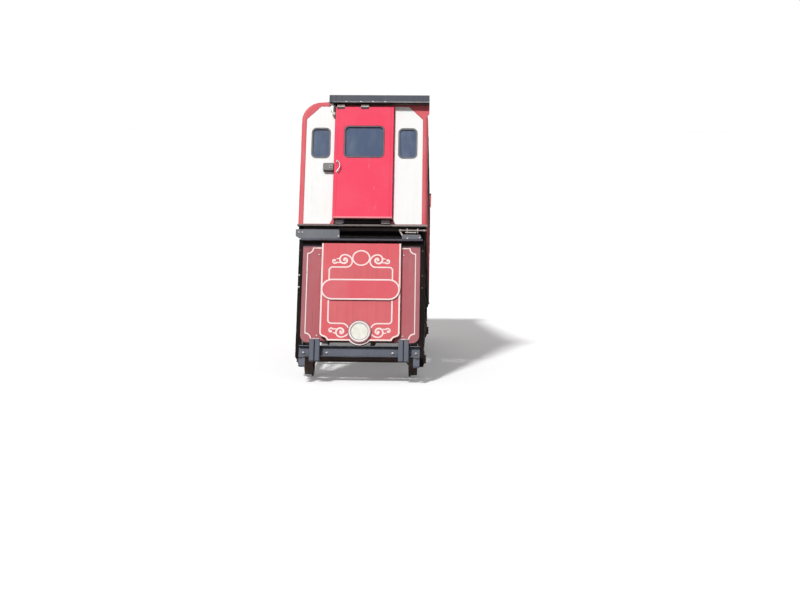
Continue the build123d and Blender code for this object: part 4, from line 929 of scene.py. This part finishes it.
# %% Finishes on the CAD pieces
FINISHES = {
    coach_red: ("lower_end_frame", "upper_end_frame"),
    side_red: ("side_wall_left", "side_wall_right"),
    door_red: ("lower_door", "upper_door"),
    panel_white: ("end_panels",),
    roof_paint: ("roof",),
    cover_grey: ("door_track_covers",),
    lock_grey: ("door_locks",),
    beam_blue: ("front_beams",),
    frame_blue: ("buffers", "rail_guards"),
    apron_grey: ("apron_plates",),
    frame_black: (
        "top_chords", "front_posts", "inclined_chords", "frame_uprights", "frame_diagonals", "cross_members",
        "bolsters", "sole_bars", "floor_bearers", "axle_guards", "brake_carriers"),
    board_bright: ("sign_centre_board",),
    plate_red: ("name_plate",),
    board_dull: ("sign_back_board",),
    medallion_finish: ("medallion",),
    door_steel: ("lower_door_fittings", "upper_door_fittings"),
    track_steel: ("door_tracks",),
    bright_steel: ("grab_rails", "bench_legs", "haulage_lug"),
    shaft_steel: ("release_shaft",),
    sill_metal: ("sill_strips",),
    wheel_steel: ("lower_wheelset", "upper_wheelset"),
    cast_iron: ("axle_boxes", "brake_jaws"),
    window_grey: ("window_rubbers",),
    door_seal: ("lower_door_rubber", "upper_door_rubber"),
    mount_rubber: ("axle_springs", "body_mounts"),
    glass: ("window_glass", "lower_door_glass", "upper_door_glass"),
    bench_wood: ("bench_seats",),
    deck_cover: ("floor_deck",),
}
finished = set()
for finish, names in FINISHES.items():
    for name in names:
        nodes[name].data.materials.clear()
        nodes[name].data.materials.append(finish)
        finished.add(name)
print("finished", len(finished), "left plain", sorted(set(nodes) - finished))


# %% [markdown]
# New pieces all end the same way: doubles merged, faces turned outwards, smooth where they are round
# and sharp where they have an edge, and set to ride on a body of the car. Real edges are never quite
# sharp, so a bevel rounds those of plain blocks and plates.

# %% Helpers for new pieces
SHARP_FROM = math.radians(32)


def finish_piece(name, bm, finish, body="car"):
    """Turns a bmesh into a piece that rides on a body and takes its finish from a slot."""
    bmesh.ops.remove_doubles(bm, verts=bm.verts, dist=MERGE)
    bmesh.ops.recalc_face_normals(bm, faces=bm.faces)
    mesh = bpy.data.meshes.new(name)
    bm.to_mesh(mesh)
    bm.free()
    mesh.shade_smooth()
    mesh.set_sharp_from_angle(angle=SHARP_FROM)
    mesh.materials.append(finish)
    made = bpy.data.objects.new(name, mesh)
    bpy.context.scene.collection.objects.link(made)
    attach(made, body)
    print(name, "faces", len(mesh.polygons))
    return made


def soften(bm, width):
    """Rounds every sharp edge of a bmesh by a width."""
    sharp = [edge for edge in bm.edges if edge.calc_face_angle(0.0) > SHARP_FROM]
    bmesh.ops.bevel(
        bm, geom=sharp, offset=width, offset_type="OFFSET", segments=2, profile=0.5, affect="EDGES",
        material=-1)


def add_block(bm, middle, size):
    """A plain block about its middle."""
    bmesh.ops.create_cube(bm, size=1.0, matrix=Matrix.Translation(middle) @ Matrix.Diagonal((*size, 1)))


print("new pieces turn sharp from", round(math.degrees(SHARP_FROM)), "degrees")


# %% [markdown]
# Painted lines, window beads, joints and roof seams are all flat beads that follow a line. A curve with
# a round bevel makes one, a width at each point lets it swell and thin, and a squash along Y makes it
# flat. It is made a mesh before it is squashed and put in place, because such a change moves only the
# points of a curve and leaves its bevel round.

# %% Beads along a line
def arc(centre, radius, start, end, steps=12, squash=1.0):
    """Points along an arc in the X-Z plane, angles in degrees, squashed upright by a share."""
    points = []
    for step in range(steps + 1):
        angle = math.radians(start + (end - start) * step / steps)
        points.append((centre[0] + radius * math.cos(angle), centre[1] + radius * squash * math.sin(angle)))
    return points


def both_hands(runs):
    """Each run and its mirror image across the car's middle."""
    mirrored = [([(-x, z) for x, z in points], widths, closed) for points, widths, closed in runs]
    return [*runs, *mirrored]


def rounded_run(x, z, half_w, half_h, radius):
    """Points round a rectangle with round corners."""
    points = []
    for side, up, start in ((1, 1, 0), (-1, 1, 90), (-1, -1, 180), (1, -1, 270)):
        corner = (x + side * (half_w - radius), z + up * (half_h - radius))
        points += arc(corner, radius, start, start + 90, 6)
    return points


def lined_bm(runs, front_y, proud, turns=(0,)):
    """Flat beads along runs in the X-Z plane: each is (points, one width or a width a point, closed).
    They lie at front_y, once for each turn in degrees about Z."""
    curve = bpy.data.curves.new("beads", "CURVE")
    curve.dimensions = "3D"
    curve.bevel_depth = 0.5
    curve.bevel_resolution = 2
    curve.use_fill_caps = True
    for points, widths, closed in runs:
        spline = curve.splines.new("POLY")
        spline.points.add(len(points) - 1)
        each = widths if isinstance(widths, list) else [widths] * len(points)
        for point, (x, z), width in zip(spline.points, points, each):
            point.co = (x, 0.0, z, 1.0)
            point.radius = width
        spline.use_cyclic_u = closed
    holder = bpy.data.objects.new("beads", curve)
    mesh = bpy.data.meshes.new_from_object(holder)
    bpy.data.objects.remove(holder)
    widest = max(max(widths) if isinstance(widths, list) else widths for _, widths, _ in runs)
    mesh.transform(Matrix.Translation((0, front_y, 0)) @ Matrix.Diagonal((1, 2 * proud / widest, 1, 1)))
    bm = bmesh.new()
    for turn in turns:
        turned = mesh.copy()
        turned.transform(degrees_about(turn, "Z"))
        bm.from_mesh(turned)
    return bm


print("bead helpers ready")


# %% [markdown]
# A white band runs round the edge of the centre board and of the name plate. Half a band's width in
# from the edge, its middle follows the same outline: the board's side, the S of its lower corner, its
# bottom and the round lobe under the medallion. The plate is a slot with two round ends.

# %% Edge bands
LINE_PROUD = 1.2 * MM
EDGE_LINE_W = 24 * MM
PLATE_LINE_W = 23 * MM
S_CORNER = 0.118
S_SWELL = 0.013
S_LEAN = 0.62
S_STEPS = 18
BOARD_BOTTOM = -0.278
LOBE_R = 0.206
PLATE_Z = (plate_low.z + plate_high.z) / 2


def s_corner(inset):
    """The middle of a band down the S-shaped lower right corner, moved in from its edge."""
    points = []
    for step in range(S_STEPS + 1):
        share = step / S_STEPS
        swell = S_SWELL * math.sin(2 * math.pi * share) / math.sqrt(2)
        turn = math.radians(225) + S_LEAN * math.cos(2 * math.pi * share)
        x = sign_high.x - S_CORNER * share + swell + inset * math.sin(turn)
        z = BOARD_BOTTOM + S_CORNER * (1 - share) - swell - inset * math.cos(turn)
        points.append((x, max(z, BOARD_BOTTOM + inset)))
    return points


edge_in = EDGE_LINE_W / 2
lobe_low = math.degrees(math.asin((MEDAL_Z - BOARD_BOTTOM - edge_in) / (LOBE_R - edge_in)))
right_edge = [(sign_high.x - edge_in, sign_high.z), *s_corner(edge_in)]
lobe = arc((0, MEDAL_Z), LOBE_R - edge_in, -lobe_low, lobe_low - 180, 24)
left_edge = [(-x, z) for x, z in reversed(right_edge)]
board_run = ([*right_edge, *lobe, *left_edge], EDGE_LINE_W, False)
finish_piece("board_edge_line", lined_bm([board_run], sign_low.y, LINE_PROUD), line_white)

plate_in = PLATE_LINE_W / 2
end_r = (plate_high.z - plate_low.z) / 2 - plate_in
plate_band = (rounded_run(0, PLATE_Z, plate_high.x - plate_in, end_r, end_r), PLATE_LINE_W, True)
finish_piece("plate_edge_line", lined_bm([plate_band], plate_low.y, LINE_PROUD), line_white)


# %% [markdown]
# Signwriters' scrolls are spirals that thin out towards a round end. They could be traced point by
# point, but a spiral needs only a centre, a radius and how fast it closes in. A function draws one
# scroll with its arm, its small partner and a leaf between them, and flips it for the lower corners.
# Widths along the run give the swelling and thinning of a brush.

# %% Scrolls
LINE_W = 21 * MM
LINE_HEAVY = 29 * MM
LINE_THIN = 13 * MM
HEAVIEST_AT = 0.62
CURL_TURN = 4.3
CURL_R = 0.082
CURL_STEP = 0.0135
CURL_END_R = 0.021
SMALL_CURL_FROM = (0.062, -0.046)
SMALL_CURL_AWAY = (0.146, -0.019)
SMALL_CURL_TURN = 2.9
SMALL_CURL_START = 215
SMALL_CURL_R = 0.040
SMALL_CURL_STEP = 0.0062
SMALL_CURL_W = (24 * MM, 12 * MM)
SMALL_CURL_END = (0.0, 0.010)
SMALL_CURL_END_R = 0.019
LEAF = ((0.072, 0.018), (0.098, 0.020), (0.124, 0.012))
LEAF_W = [LINE_W, 17 * MM, 7 * MM]
STEPS_A_QUARTER = 8


def spiral(centre, radius, step, quarters, start, hand, flip):
    """A spiral that starts at an angle and closes in by a step each quarter turn."""
    points = []
    steps = int(quarters * STEPS_A_QUARTER)
    for index in range(steps + 1):
        turned = quarters * index / steps
        angle = math.radians(start - hand * 90 * turned)
        now = radius - step * turned
        points.append((centre[0] + now * math.cos(angle), centre[1] + flip * now * math.sin(angle)))
    return points


def swelling(count, start, end):
    """Widths that thin steadily from start to end."""
    return [start + (end - start) * index / (count - 1) for index in range(count)]


def brushed_widths(count):
    """Widths of a curl: thin at its back, heaviest on the way in and thin again at the end."""
    heavy_at = int(count * HEAVIEST_AT)
    return [*swelling(heavy_at, LINE_W, LINE_HEAVY), *swelling(count - heavy_at, LINE_HEAVY, LINE_THIN)]


def round_end(point, radius):
    """The round end of a scroll, as a tiny closed run."""
    return (arc(point, radius / 2, 0, 330, 11), radius, True)


def away_from(centre, step, flip):
    """A point a step away from a centre, upwards or, flipped, downwards."""
    return (centre[0] + step[0], centre[1] + flip * step[1])


def scroll(centre, arm, flip):
    """A big curl with its arm, a small curl and a leaf between them."""
    curl = spiral(centre, CURL_R, CURL_STEP, CURL_TURN, 90, 1, flip)
    widths = [*[LINE_W] * len(arm), *brushed_widths(len(curl) - 1)]
    small_centre = away_from(centre, SMALL_CURL_AWAY, flip)
    small = spiral(small_centre, SMALL_CURL_R, SMALL_CURL_STEP, SMALL_CURL_TURN, SMALL_CURL_START, -1, flip)
    small_run = [away_from(centre, SMALL_CURL_FROM, flip), *small]
    return [
        ([*arm, *curl[1:]], widths, False),
        round_end(centre, CURL_END_R),
        (small_run, [LINE_THIN, *swelling(len(small), *SMALL_CURL_W)], False),
        round_end(away_from(small_centre, SMALL_CURL_END, flip), SMALL_CURL_END_R),
        ([away_from(centre, step, flip) for step in LEAF], LEAF_W, False),
    ]


print("a curl has", len(brushed_widths(int(CURL_TURN * STEPS_A_QUARTER))), "points")


# %% [markdown]
# The lining is a frame with round corners that breaks off above and below into the scrolls, with an
# oval between the upper ones. Each arm runs from the lining over the back of its curl. All of it is one
# piece, as it is one coat of paint, and the left half mirrors the right.

# %% Lining on the centre board
OVAL_Z = 1.022
OVAL_R = 0.128
OVAL_SQUASH = 0.90
LINING_X = 0.480
LINING_CORNER = 0.050
UPPER_LINE_Z = OVAL_Z - 0.147
UPPER_LINE_END = 0.2245
UPPER_END_R = 0.089
UPPER_CURL = (0.256, OVAL_Z - 0.031)
UPPER_ARM_AT = (UPPER_CURL[0], OVAL_Z - 0.056)
UPPER_ARM_R = 0.1205
UPPER_ARM_SQUASH = 0.888
LOWER_LINE_Z = MEDAL_Z + 0.131
LOWER_LINE_END = 0.270
LOWER_END_R = 0.105
LOWER_CURL = (0.283, MEDAL_Z)
LOWER_ARM_AT = (LOWER_CURL[0], MEDAL_Z + 0.020)
LOWER_ARM_R = 0.125
LOWER_ARM_SQUASH = 0.816

corner_x = LINING_X - LINING_CORNER
upper_arm = [
    (LINING_X, PLATE_Z),
    *arc((corner_x, UPPER_LINE_Z - LINING_CORNER), LINING_CORNER, 0, 90),
    *arc((UPPER_LINE_END, UPPER_LINE_Z + UPPER_END_R), UPPER_END_R, 270, 180),
    *arc(UPPER_ARM_AT, UPPER_ARM_R, 180, 90, squash=UPPER_ARM_SQUASH),
]
lower_arm = arc(LOWER_ARM_AT, LOWER_ARM_R, 200, 270, squash=LOWER_ARM_SQUASH)
lower_line = [
    (LINING_X, PLATE_Z),
    *arc((corner_x, LOWER_LINE_Z + LINING_CORNER), LINING_CORNER, 0, -90),
    *arc((LOWER_LINE_END, LOWER_LINE_Z - LOWER_END_R), LOWER_END_R, 90, 160),
]
sign_runs = both_hands([
    *scroll(UPPER_CURL, upper_arm, 1), *scroll(LOWER_CURL, lower_arm, -1), (lower_line, LINE_W, False)])
sign_runs.append((arc((0, OVAL_Z), OVAL_R, 0, 350, 48, OVAL_SQUASH), LINE_W, True))
finish_piece("sign_lining", lined_bm(sign_runs, sign_low.y, LINE_PROUD), line_white)


# %% [markdown]
# The board behind has its own thin line, with a quarter circle scooped out at each corner. It runs in
# behind the centre board, as the real one is painted before the boards are put together.

# %% Back board lining
BACK_LINE_W = 19 * MM
BACK_LINE_X = 0.824
BACK_LINE_TOP = 1.196
BACK_LINE_BOTTOM = -0.236
SCOOP_R = 0.087
back_run = [
    (sign_high.x, BACK_LINE_TOP),
    *arc((BACK_LINE_X, BACK_LINE_TOP), SCOOP_R, 180, 270),
    *arc((BACK_LINE_X, BACK_LINE_BOTTOM), SCOOP_R, 90, 180),
    (sign_high.x, BACK_LINE_BOTTOM),
]
finish_piece(
    "back_board_lining", lined_bm(both_hands([(back_run, BACK_LINE_W, False)]), back_low.y, LINE_PROUD),
    line_white)


# %% [markdown]
# The medallion's rings are raised a little, as beads. The white one hides the step between its rim and
# the disc, and the thin grey one lies on the sunk disc.

# %% Medallion rings
WHITE_RING = (0.148, 22 * MM)
GREY_RING = (0.131, 7 * MM)
DISC_SUNK = 8 * MM
ring_grey = painted(
    "ring_grey", srgb(158, 158, 164), srgb(172, 170, 174), fading=0.5, chips=0.2, roughness=0.35)


def ring_bead(radius, width, front_y):
    """A round bead about the medallion's middle."""
    return lined_bm([(arc((0, MEDAL_Z), radius, 0, 354, 60), width, True)], front_y, 2 * MM)


finish_piece("medallion_ring", ring_bead(*WHITE_RING, medal_low.y), line_white)
finish_piece("medallion_inner_ring", ring_bead(*GREY_RING, medal_low.y + DISC_SUNK), ring_grey)


# %% [markdown]
# Bolts hold the beam, the boards, the axle guards and the bolsters. One helper puts a washer and a
# chamfered hexagon on any face, by a place and the way that the face looks. To land exactly on a CAD
# piece, each bolt is dropped: a ray from in front of the face finds the spot where it sits.

# %% Helpers for bolts and screws
LEFT, RIGHT = Vector((-1, 0, 0)), Vector((1, 0, 0))
FRONT, REAR = Vector((0, -1, 0)), Vector((0, 1, 0))
WASHER_T = 4 * MM
SCREW_RISE = 0.22


def on_face(place, looks):
    """A matrix that stands a shape on a face at a place, with its Z along the way the face looks."""
    return Matrix.Translation(place) @ looks.to_track_quat("Z", "Y").to_matrix().to_4x4()


def add_stub(bm, stand, foot, depth, wide, narrow, sides):
    """A short solid cone along a matrix's Z from a foot height, with its radii below and above."""
    bmesh.ops.create_cone(
        bm, cap_ends=True, segments=sides, radius1=wide, radius2=narrow, depth=depth,
        matrix=stand @ Matrix.Translation((0, 0, foot + depth / 2)))


def add_bolt(bm, place, looks, across=25 * MM, height=14 * MM):
    """A hexagon head with a chamfered top on a round washer."""
    stand = on_face(Vector(place), looks)
    corner_r = across / math.sqrt(3)
    straight = height * 0.75
    add_stub(bm, stand, 0.0, WASHER_T, across * 0.72, across * 0.70, 18)
    add_stub(bm, stand, WASHER_T, straight, corner_r, corner_r, 6)
    add_stub(bm, stand, WASHER_T + straight, height - straight, corner_r, corner_r * 0.8, 6)


def add_screw(bm, place, looks, radius):
    """A low domed screw head."""
    stand = on_face(Vector(place), looks)
    rise = radius * SCREW_RISE
    add_stub(bm, stand, 0.0, rise, radius, radius * 0.86, 10)
    add_stub(bm, stand, rise, rise, radius * 0.86, radius * 0.45, 10)


def skin_of(name):
    """A CAD piece's surface, ready for rays."""
    mesh = nodes[name].data
    return BVHTree.FromPolygons([v.co for v in mesh.vertices], [f.vertices[:] for f in mesh.polygons])


def drop_on(bm, name, starts, looks, shape=add_bolt, **sizes):
    """Bolts or screws dropped straight onto a CAD piece, each from a start in front of its face."""
    skin = skin_of(name)
    landed = 0
    for start in starts:
        spot = skin.ray_cast(Vector(start), -looks)[0]
        if spot:
            shape(bm, spot, looks, **sizes)
            landed += 1
    print(name, "took", landed, "of", len(starts))


# Pale for bolts in the sun, a painted highlight, and dark for the black frame's bolts and for those that lie
# in shade, painted shade.
bolt_lit_pale = painted(
    "bolt_lit_pale", srgb(226, 220, 214), srgb(200, 190, 180), under=RUST, streaks=0.2, corners=0.4, chips=0.3,
    roughness=0.45)
bolt_dark = painted(
    "bolt_dark", srgb(70, 66, 64), srgb(96, 82, 72), under=RUST, streaks=0.2, corners=0.5, chips=0.8,
    roughness=0.5)
print("bolts wear", bolt_lit_pale.name, "and", bolt_dark.name)


# %% [markdown]
# The bolts that catch the sun on the front are painted pale, a painted highlight: four along the beam,
# four in the back board, the apron plates' fixings and two in the left post. The name plate has two
# screws of its own colour.

# %% Bolts on the front
IN_FRONT = -3.0
SMALL_BOLT = {"across": 20 * MM, "height": 9 * MM}
BEAM_BOLTS = [(x, -0.452) for x in (-0.836, -0.485, 0.503, 0.851)]
BOARD_BOLTS = [(side * 0.645, z) for side in (-1, 1) for z in (1.088, -0.190)]
APRON_BOLTS = ((-0.965, 1.435), (-0.912, 1.435), (-0.358, 1.378), (0.697, 1.350), (0.886, 1.362))
SUNLIT_POST_BOLTS = ((-0.942, 0.765), (-0.942, 0.574))
PLATE_SCREWS = ((-0.535, PLATE_Z), (0.535, PLATE_Z))
PLATE_SCREW_R = 9 * MM


def ahead_of(spots, y=IN_FRONT):
    """Starts in front of the car, or behind it, for spots given by X and Z."""
    return [(x, y, z) for x, z in spots]


bm = bmesh.new()
drop_on(bm, "front_beams", ahead_of(BEAM_BOLTS), FRONT)
for name, spots in (
    ("sign_back_board", BOARD_BOLTS), ("apron_plates", APRON_BOLTS), ("front_posts", SUNLIT_POST_BOLTS),
):
    drop_on(bm, name, ahead_of(spots), FRONT, **SMALL_BOLT)
finish_piece("front_bolts", bm, bolt_lit_pale)

bm = bmesh.new()
drop_on(bm, "name_plate", ahead_of(PLATE_SCREWS), FRONT, add_screw, radius=PLATE_SCREW_R)
finish_piece("plate_screws", bm, plate_red)


# %% [markdown]
# The wedge is bolted together where its members meet, each axle guard hangs on bolts under the
# inclined chord, and each axle box has a ring of bolts round its cover. Places along the slope are
# turned by its angle, as the CAD members were: s runs up the slope and n stands square to it.

# %% Bolts of the wedge
BESIDE = 1.5
AXLES_S = (-1.575, 1.575)
AXLE_N = 0.250
CHORD_MID_N = 0.430
TOP_CHORD_MID_Z = 1.278
UPRIGHTS_Y = (-0.800, 0.500)
GUARD_BOLTS = [(s, n) for s in (-0.136, 0.136) for n in (0.330, 0.353)]
CHORD_BOLTS = [(s, n) for s in (-0.15, -0.11, 0.11, 0.15) for n in (0.405, 0.455)]
GUSSET_BOLTS = [(step, up) for step in (-0.05, 0.0, 0.05) for up in (-0.022, 0.022)]
COVER_BOLTS = arc((0, AXLE_N), 0.059, 0, 300, 5)
CARRIER_BOLTS_Y = (-0.62, -0.54, 0.24, 0.32)
CARRIER_BOLT_Z = 0.467
CARRIER_RISE = 0.424
BOLSTER_BOLTS = [(x, 1.386) for x in (-0.82, -0.90, 0.82, 0.90)]
# The post bolts in shade take the dark bolt paint, painted shade.
SHADED_POST_BOLTS = ((-0.942, 1.16), (0.930, 1.16), (0.930, 0.765), (0.930, 0.574))
RAIL_GUARD_BOLTS = ((-0.87, -0.545), (0.87, -0.545))
along_slope = Vector((0, math.cos(math.radians(SLOPE)), math.sin(math.radians(SLOPE))))
off_slope = Vector((0, -along_slope.z, along_slope.y))


def on_slope(x, s, n):
    """A place x aside, s up the slope and n square to it."""
    return Vector((x, 0, 0)) + along_slope * s + off_slope * n


def chord_s(y):
    """How far up the slope the inclined chord's middle passes a level place y."""
    return (y + CHORD_MID_N * along_slope.z) / along_slope.y


joint_bm = bmesh.new()
cover_bm = bmesh.new()
for side, looks in ((-1, LEFT), (1, RIGHT)):
    out = side * BESIDE
    guards = [on_slope(out, axle + s, n) for axle in AXLES_S for s, n in GUARD_BOLTS]
    chord = [on_slope(out, axle + s, n) for axle in AXLES_S for s, n in CHORD_BOLTS]
    chord += [on_slope(out, chord_s(y) + s, CHORD_MID_N + up) for y in UPRIGHTS_Y for s, up in GUSSET_BOLTS]
    covers = [on_slope(out, axle + s, n) for axle in AXLES_S for s, n in COVER_BOLTS]
    top = [(out, y + step, TOP_CHORD_MID_Z + up) for y in UPRIGHTS_Y for step, up in GUSSET_BOLTS]
    carrier = [(out, y, CARRIER_BOLT_Z + y * CARRIER_RISE) for y in CARRIER_BOLTS_Y]
    drop_on(joint_bm, "axle_guards", guards, looks, across=13 * MM, height=7 * MM)
    drop_on(joint_bm, "inclined_chords", chord, looks, **SMALL_BOLT)
    drop_on(joint_bm, "top_chords", top, looks, **SMALL_BOLT)
    drop_on(joint_bm, "brake_carriers", carrier, looks, **SMALL_BOLT)
    drop_on(cover_bm, "axle_boxes", covers, looks, across=10 * MM, height=5 * MM)
for name, spots in (
    ("bolsters", BOLSTER_BOLTS), ("front_posts", SHADED_POST_BOLTS), ("rail_guards", RAIL_GUARD_BOLTS),
):
    drop_on(joint_bm, name, ahead_of(spots), FRONT, **SMALL_BOLT)
finish_piece("wedge_bolts", joint_bm, bolt_dark)
finish_piece("box_cover_bolts", cover_bm, bolt_dark)


# %% [markdown]
# The cabin sits on six rubber mounts, each between two steel collars. A collar is a short round plate,
# and its edges are rounded so that they catch a line of light.

# %% Collars of the rubber mounts
MOUNTS_Y = (-1.90, 0.0, 1.90)
MOUNT_X = 0.80
COLLAR_R = 76 * MM
COLLAR_T = 8 * MM
EDGE_ROUND = 1.5 * MM
mount_low, mount_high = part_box("body_mounts")
bm = bmesh.new()
for x in (-MOUNT_X, MOUNT_X):
    for y in MOUNTS_Y:
        for foot in (mount_low.z, mount_high.z - COLLAR_T):
            add_stub(bm, Matrix.Translation((x, y, foot)), 0.0, COLLAR_T, COLLAR_R, COLLAR_R, 36)
soften(bm, EDGE_ROUND)
finish_piece("mount_collars", bm, bolt_dark)


# %% [markdown]
# Each window's rubber holds its glass by a filler bead that is pressed in last. It runs a few
# millimetres inside the opening, so the same rounded run is drawn a little smaller. The beads of the
# ends and sides belong to the car, and those of the doors slide with them.

# %% Window beads
BEAD_W = 6 * MM
BEAD_PROUD = 1.5 * MM
BEAD_IN = 3 * MM
WINDOW_R = 0.070
END_WINDOWS_X = (-0.677, 0.677)
END_WINDOW = (2.920, 0.140, 0.245)
SIDE_WINDOWS_Y = (-1.300, 0.0, 1.300)
SIDE_WINDOW = (2.784, 0.560, 0.381)
DOOR_WINDOW = (2.918, 0.306, 0.258)
ENDS = (0, 180)
SIDES = (90, -90)
bead_grey = rubber("bead_grey", srgb(128, 130, 134), srgb(146, 147, 148), 0.5)
rubber_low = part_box("window_rubbers")[0]


def window_bead(across, z, half_w, half_h):
    """A filler bead's run just inside a window opening."""
    return (rounded_run(across, z, half_w - BEAD_IN, half_h - BEAD_IN, WINDOW_R - BEAD_IN), BEAD_W, True)


for name, places, window, face_at, turns in (
    ("end_window_beads", END_WINDOWS_X, END_WINDOW, rubber_low.y, ENDS),
    ("side_window_beads", SIDE_WINDOWS_Y, SIDE_WINDOW, rubber_low.x, SIDES),
):
    beads = [window_bead(place, *window) for place in places]
    finish_piece(name, lined_bm(beads, face_at, BEAD_PROUD, turns), bead_grey)
for door, turn in (("lower_door", 0), ("upper_door", 180)):
    face_y = -max(abs(corner.y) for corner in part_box(door + "_rubber"))
    bead = lined_bm([window_bead(0.0, *DOOR_WINDOW)], face_y, BEAD_PROUD, (turn,))
    finish_piece(door + "_window_bead", bead, bead_grey, door)


# %% [markdown]
# A strip of rubber hangs under each door leaf and fills the gap over the sill, and its near-black
# colour is painted shade for the shadow under the door. It is a block between the door's two feet,
# which reaches down to just above the sill.

# %% Sweep strips under the doors
SWEEP_HALF_W = 0.288
SWEEP_OVER_SILL = 8 * MM
SWEEP_T = 6 * MM
SWEEP_UP_DOOR = 20 * MM
sill_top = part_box("sill_strips")[1].z
for door, way in (("lower_door", -1), ("upper_door", 1)):
    leaf_low, leaf_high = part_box(door)
    back = leaf_high.y if way < 0 else leaf_low.y
    low = Vector((-SWEEP_HALF_W, back, sill_top + SWEEP_OVER_SILL))
    high = Vector((SWEEP_HALF_W, back - way * SWEEP_T, leaf_low.z + SWEEP_UP_DOOR))
    bm = bmesh.new()
    add_block(bm, (low + high) / 2, high - low)
    soften(bm, EDGE_ROUND)
    finish_piece(door + "_sweep", bm, sweep_shade_black, door)


# %% [markdown]
# Where a white panel meets the red frame there is a joint, drawn as a soft, dark red line of painted
# shade for the shade in the panel's recessed edge. It follows the panel's outline with its cut corner,
# and the same beads turned round close the far end.

# %% Panel joints
PANEL_IN_X = 0.466
PANEL_CHAMFER = (0.222, 0.218)
JOINT_W = 7 * MM
JOINT_PROUD = 3 * MM
joint_shade_rose = painted(
    "joint_shade_rose", srgb(172, 66, 82), srgb(180, 84, 96), fading=0.5, chips=0.0, corners=0.2, specular=0.1)
panel_low, panel_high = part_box("end_panels")
panel_run = ([
    (PANEL_IN_X, panel_low.z),
    (panel_high.x, panel_low.z),
    (panel_high.x, panel_high.z - PANEL_CHAMFER[1]),
    (panel_high.x - PANEL_CHAMFER[0], panel_high.z),
    (PANEL_IN_X, panel_high.z),
], JOINT_W, True)
panel_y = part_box("lower_end_frame")[0].y + 2 * MM
finish_piece(
    "panel_joints", lined_bm(both_hands([panel_run]), panel_y, JOINT_PROUD, ENDS), joint_shade_rose)


# %% [markdown]
# Small screws hold the panels and the sills at both ends. They are dropped as the bolts were, with a
# ray for each, so none hangs in front of a sunk face.

# %% Panel and sill screws
PANEL_SCREWS = [(x, 1.66 + 0.22 * step) for x in (-0.482, -0.893, 0.482, 0.893) for step in range(8)]
SILL_SCREWS = [(-0.94 + 0.188 * step, 1.563) for step in range(11)]
screw_bm = bmesh.new()
sill_bm = bmesh.new()
for looks, y in ((FRONT, IN_FRONT), (REAR, -IN_FRONT)):
    drop_on(screw_bm, "end_panels", ahead_of(PANEL_SCREWS, y), looks, add_screw, radius=4 * MM)
    drop_on(sill_bm, "sill_strips", ahead_of(SILL_SCREWS, y), looks, add_screw, radius=6 * MM)
finish_piece("panel_screws", screw_bm, panel_white)
finish_piece("sill_screws", sill_bm, sill_metal)


# %% [markdown]
# The roof is made of sheets that overlap in low seams across it. A seam has to follow the arch
# exactly, so rays from outside find the roof's surface at each angle and the bead runs along those
# spots. One bead is drawn at each seam's place along the car.

# %% Roof seams
SEAMS_Y = (-1.38, -0.69, 0.0, 0.69, 1.38)
SEAM_HEIGHT = 7 * MM
SEAM_HALF_W = 14 * MM
SEAM_FROM = 34.0
SEAM_TURN = 112.0
SEAM_STEPS = 48
ARCH_MIDDLE_Z = 2.60
OVER_ROOF = 3
roof_skin = skin_of("roof")
bm = bmesh.new()
for y in SEAMS_Y:
    points = []
    for step in range(SEAM_STEPS + 1):
        angle = math.radians(SEAM_FROM + SEAM_TURN * step / SEAM_STEPS)
        outward = Vector((math.cos(angle), 0, math.sin(angle)))
        spot = roof_skin.ray_cast(Vector((0, y, ARCH_MIDDLE_Z)) + outward * OVER_ROOF, -outward)[0]
        points.append((spot.x, spot.z))
    seam = lined_bm([(points, SEAM_HEIGHT, False)], y, SEAM_HALF_W)
    seam_mesh = bpy.data.meshes.new("seam")
    seam.to_mesh(seam_mesh)
    seam.free()
    bm.from_mesh(seam_mesh)
finish_piece("roof_seams", bm, roof_paint)


# %% [markdown]
# Four clips, pale like the sunlit bolts, hold the lip of each track cover. Each is a small block with rounded
# edges.

# %% Clips on the track covers
CLIPS_X = (-0.289, -0.059, 0.129, 0.317)
CLIP_SIZE = (26 * MM, 6 * MM, 18 * MM)
CLIP_UP = 12 * MM
cover_face_y = max(abs(cover_low.y), abs(cover_high.y))
bm = bmesh.new()
for y in (-cover_face_y, cover_face_y):
    for x in CLIPS_X:
        add_block(bm, Vector((x, y, cover_low.z + CLIP_UP)), CLIP_SIZE)
soften(bm, EDGE_ROUND)
finish_piece("cover_clips", bm, bolt_lit_pale)
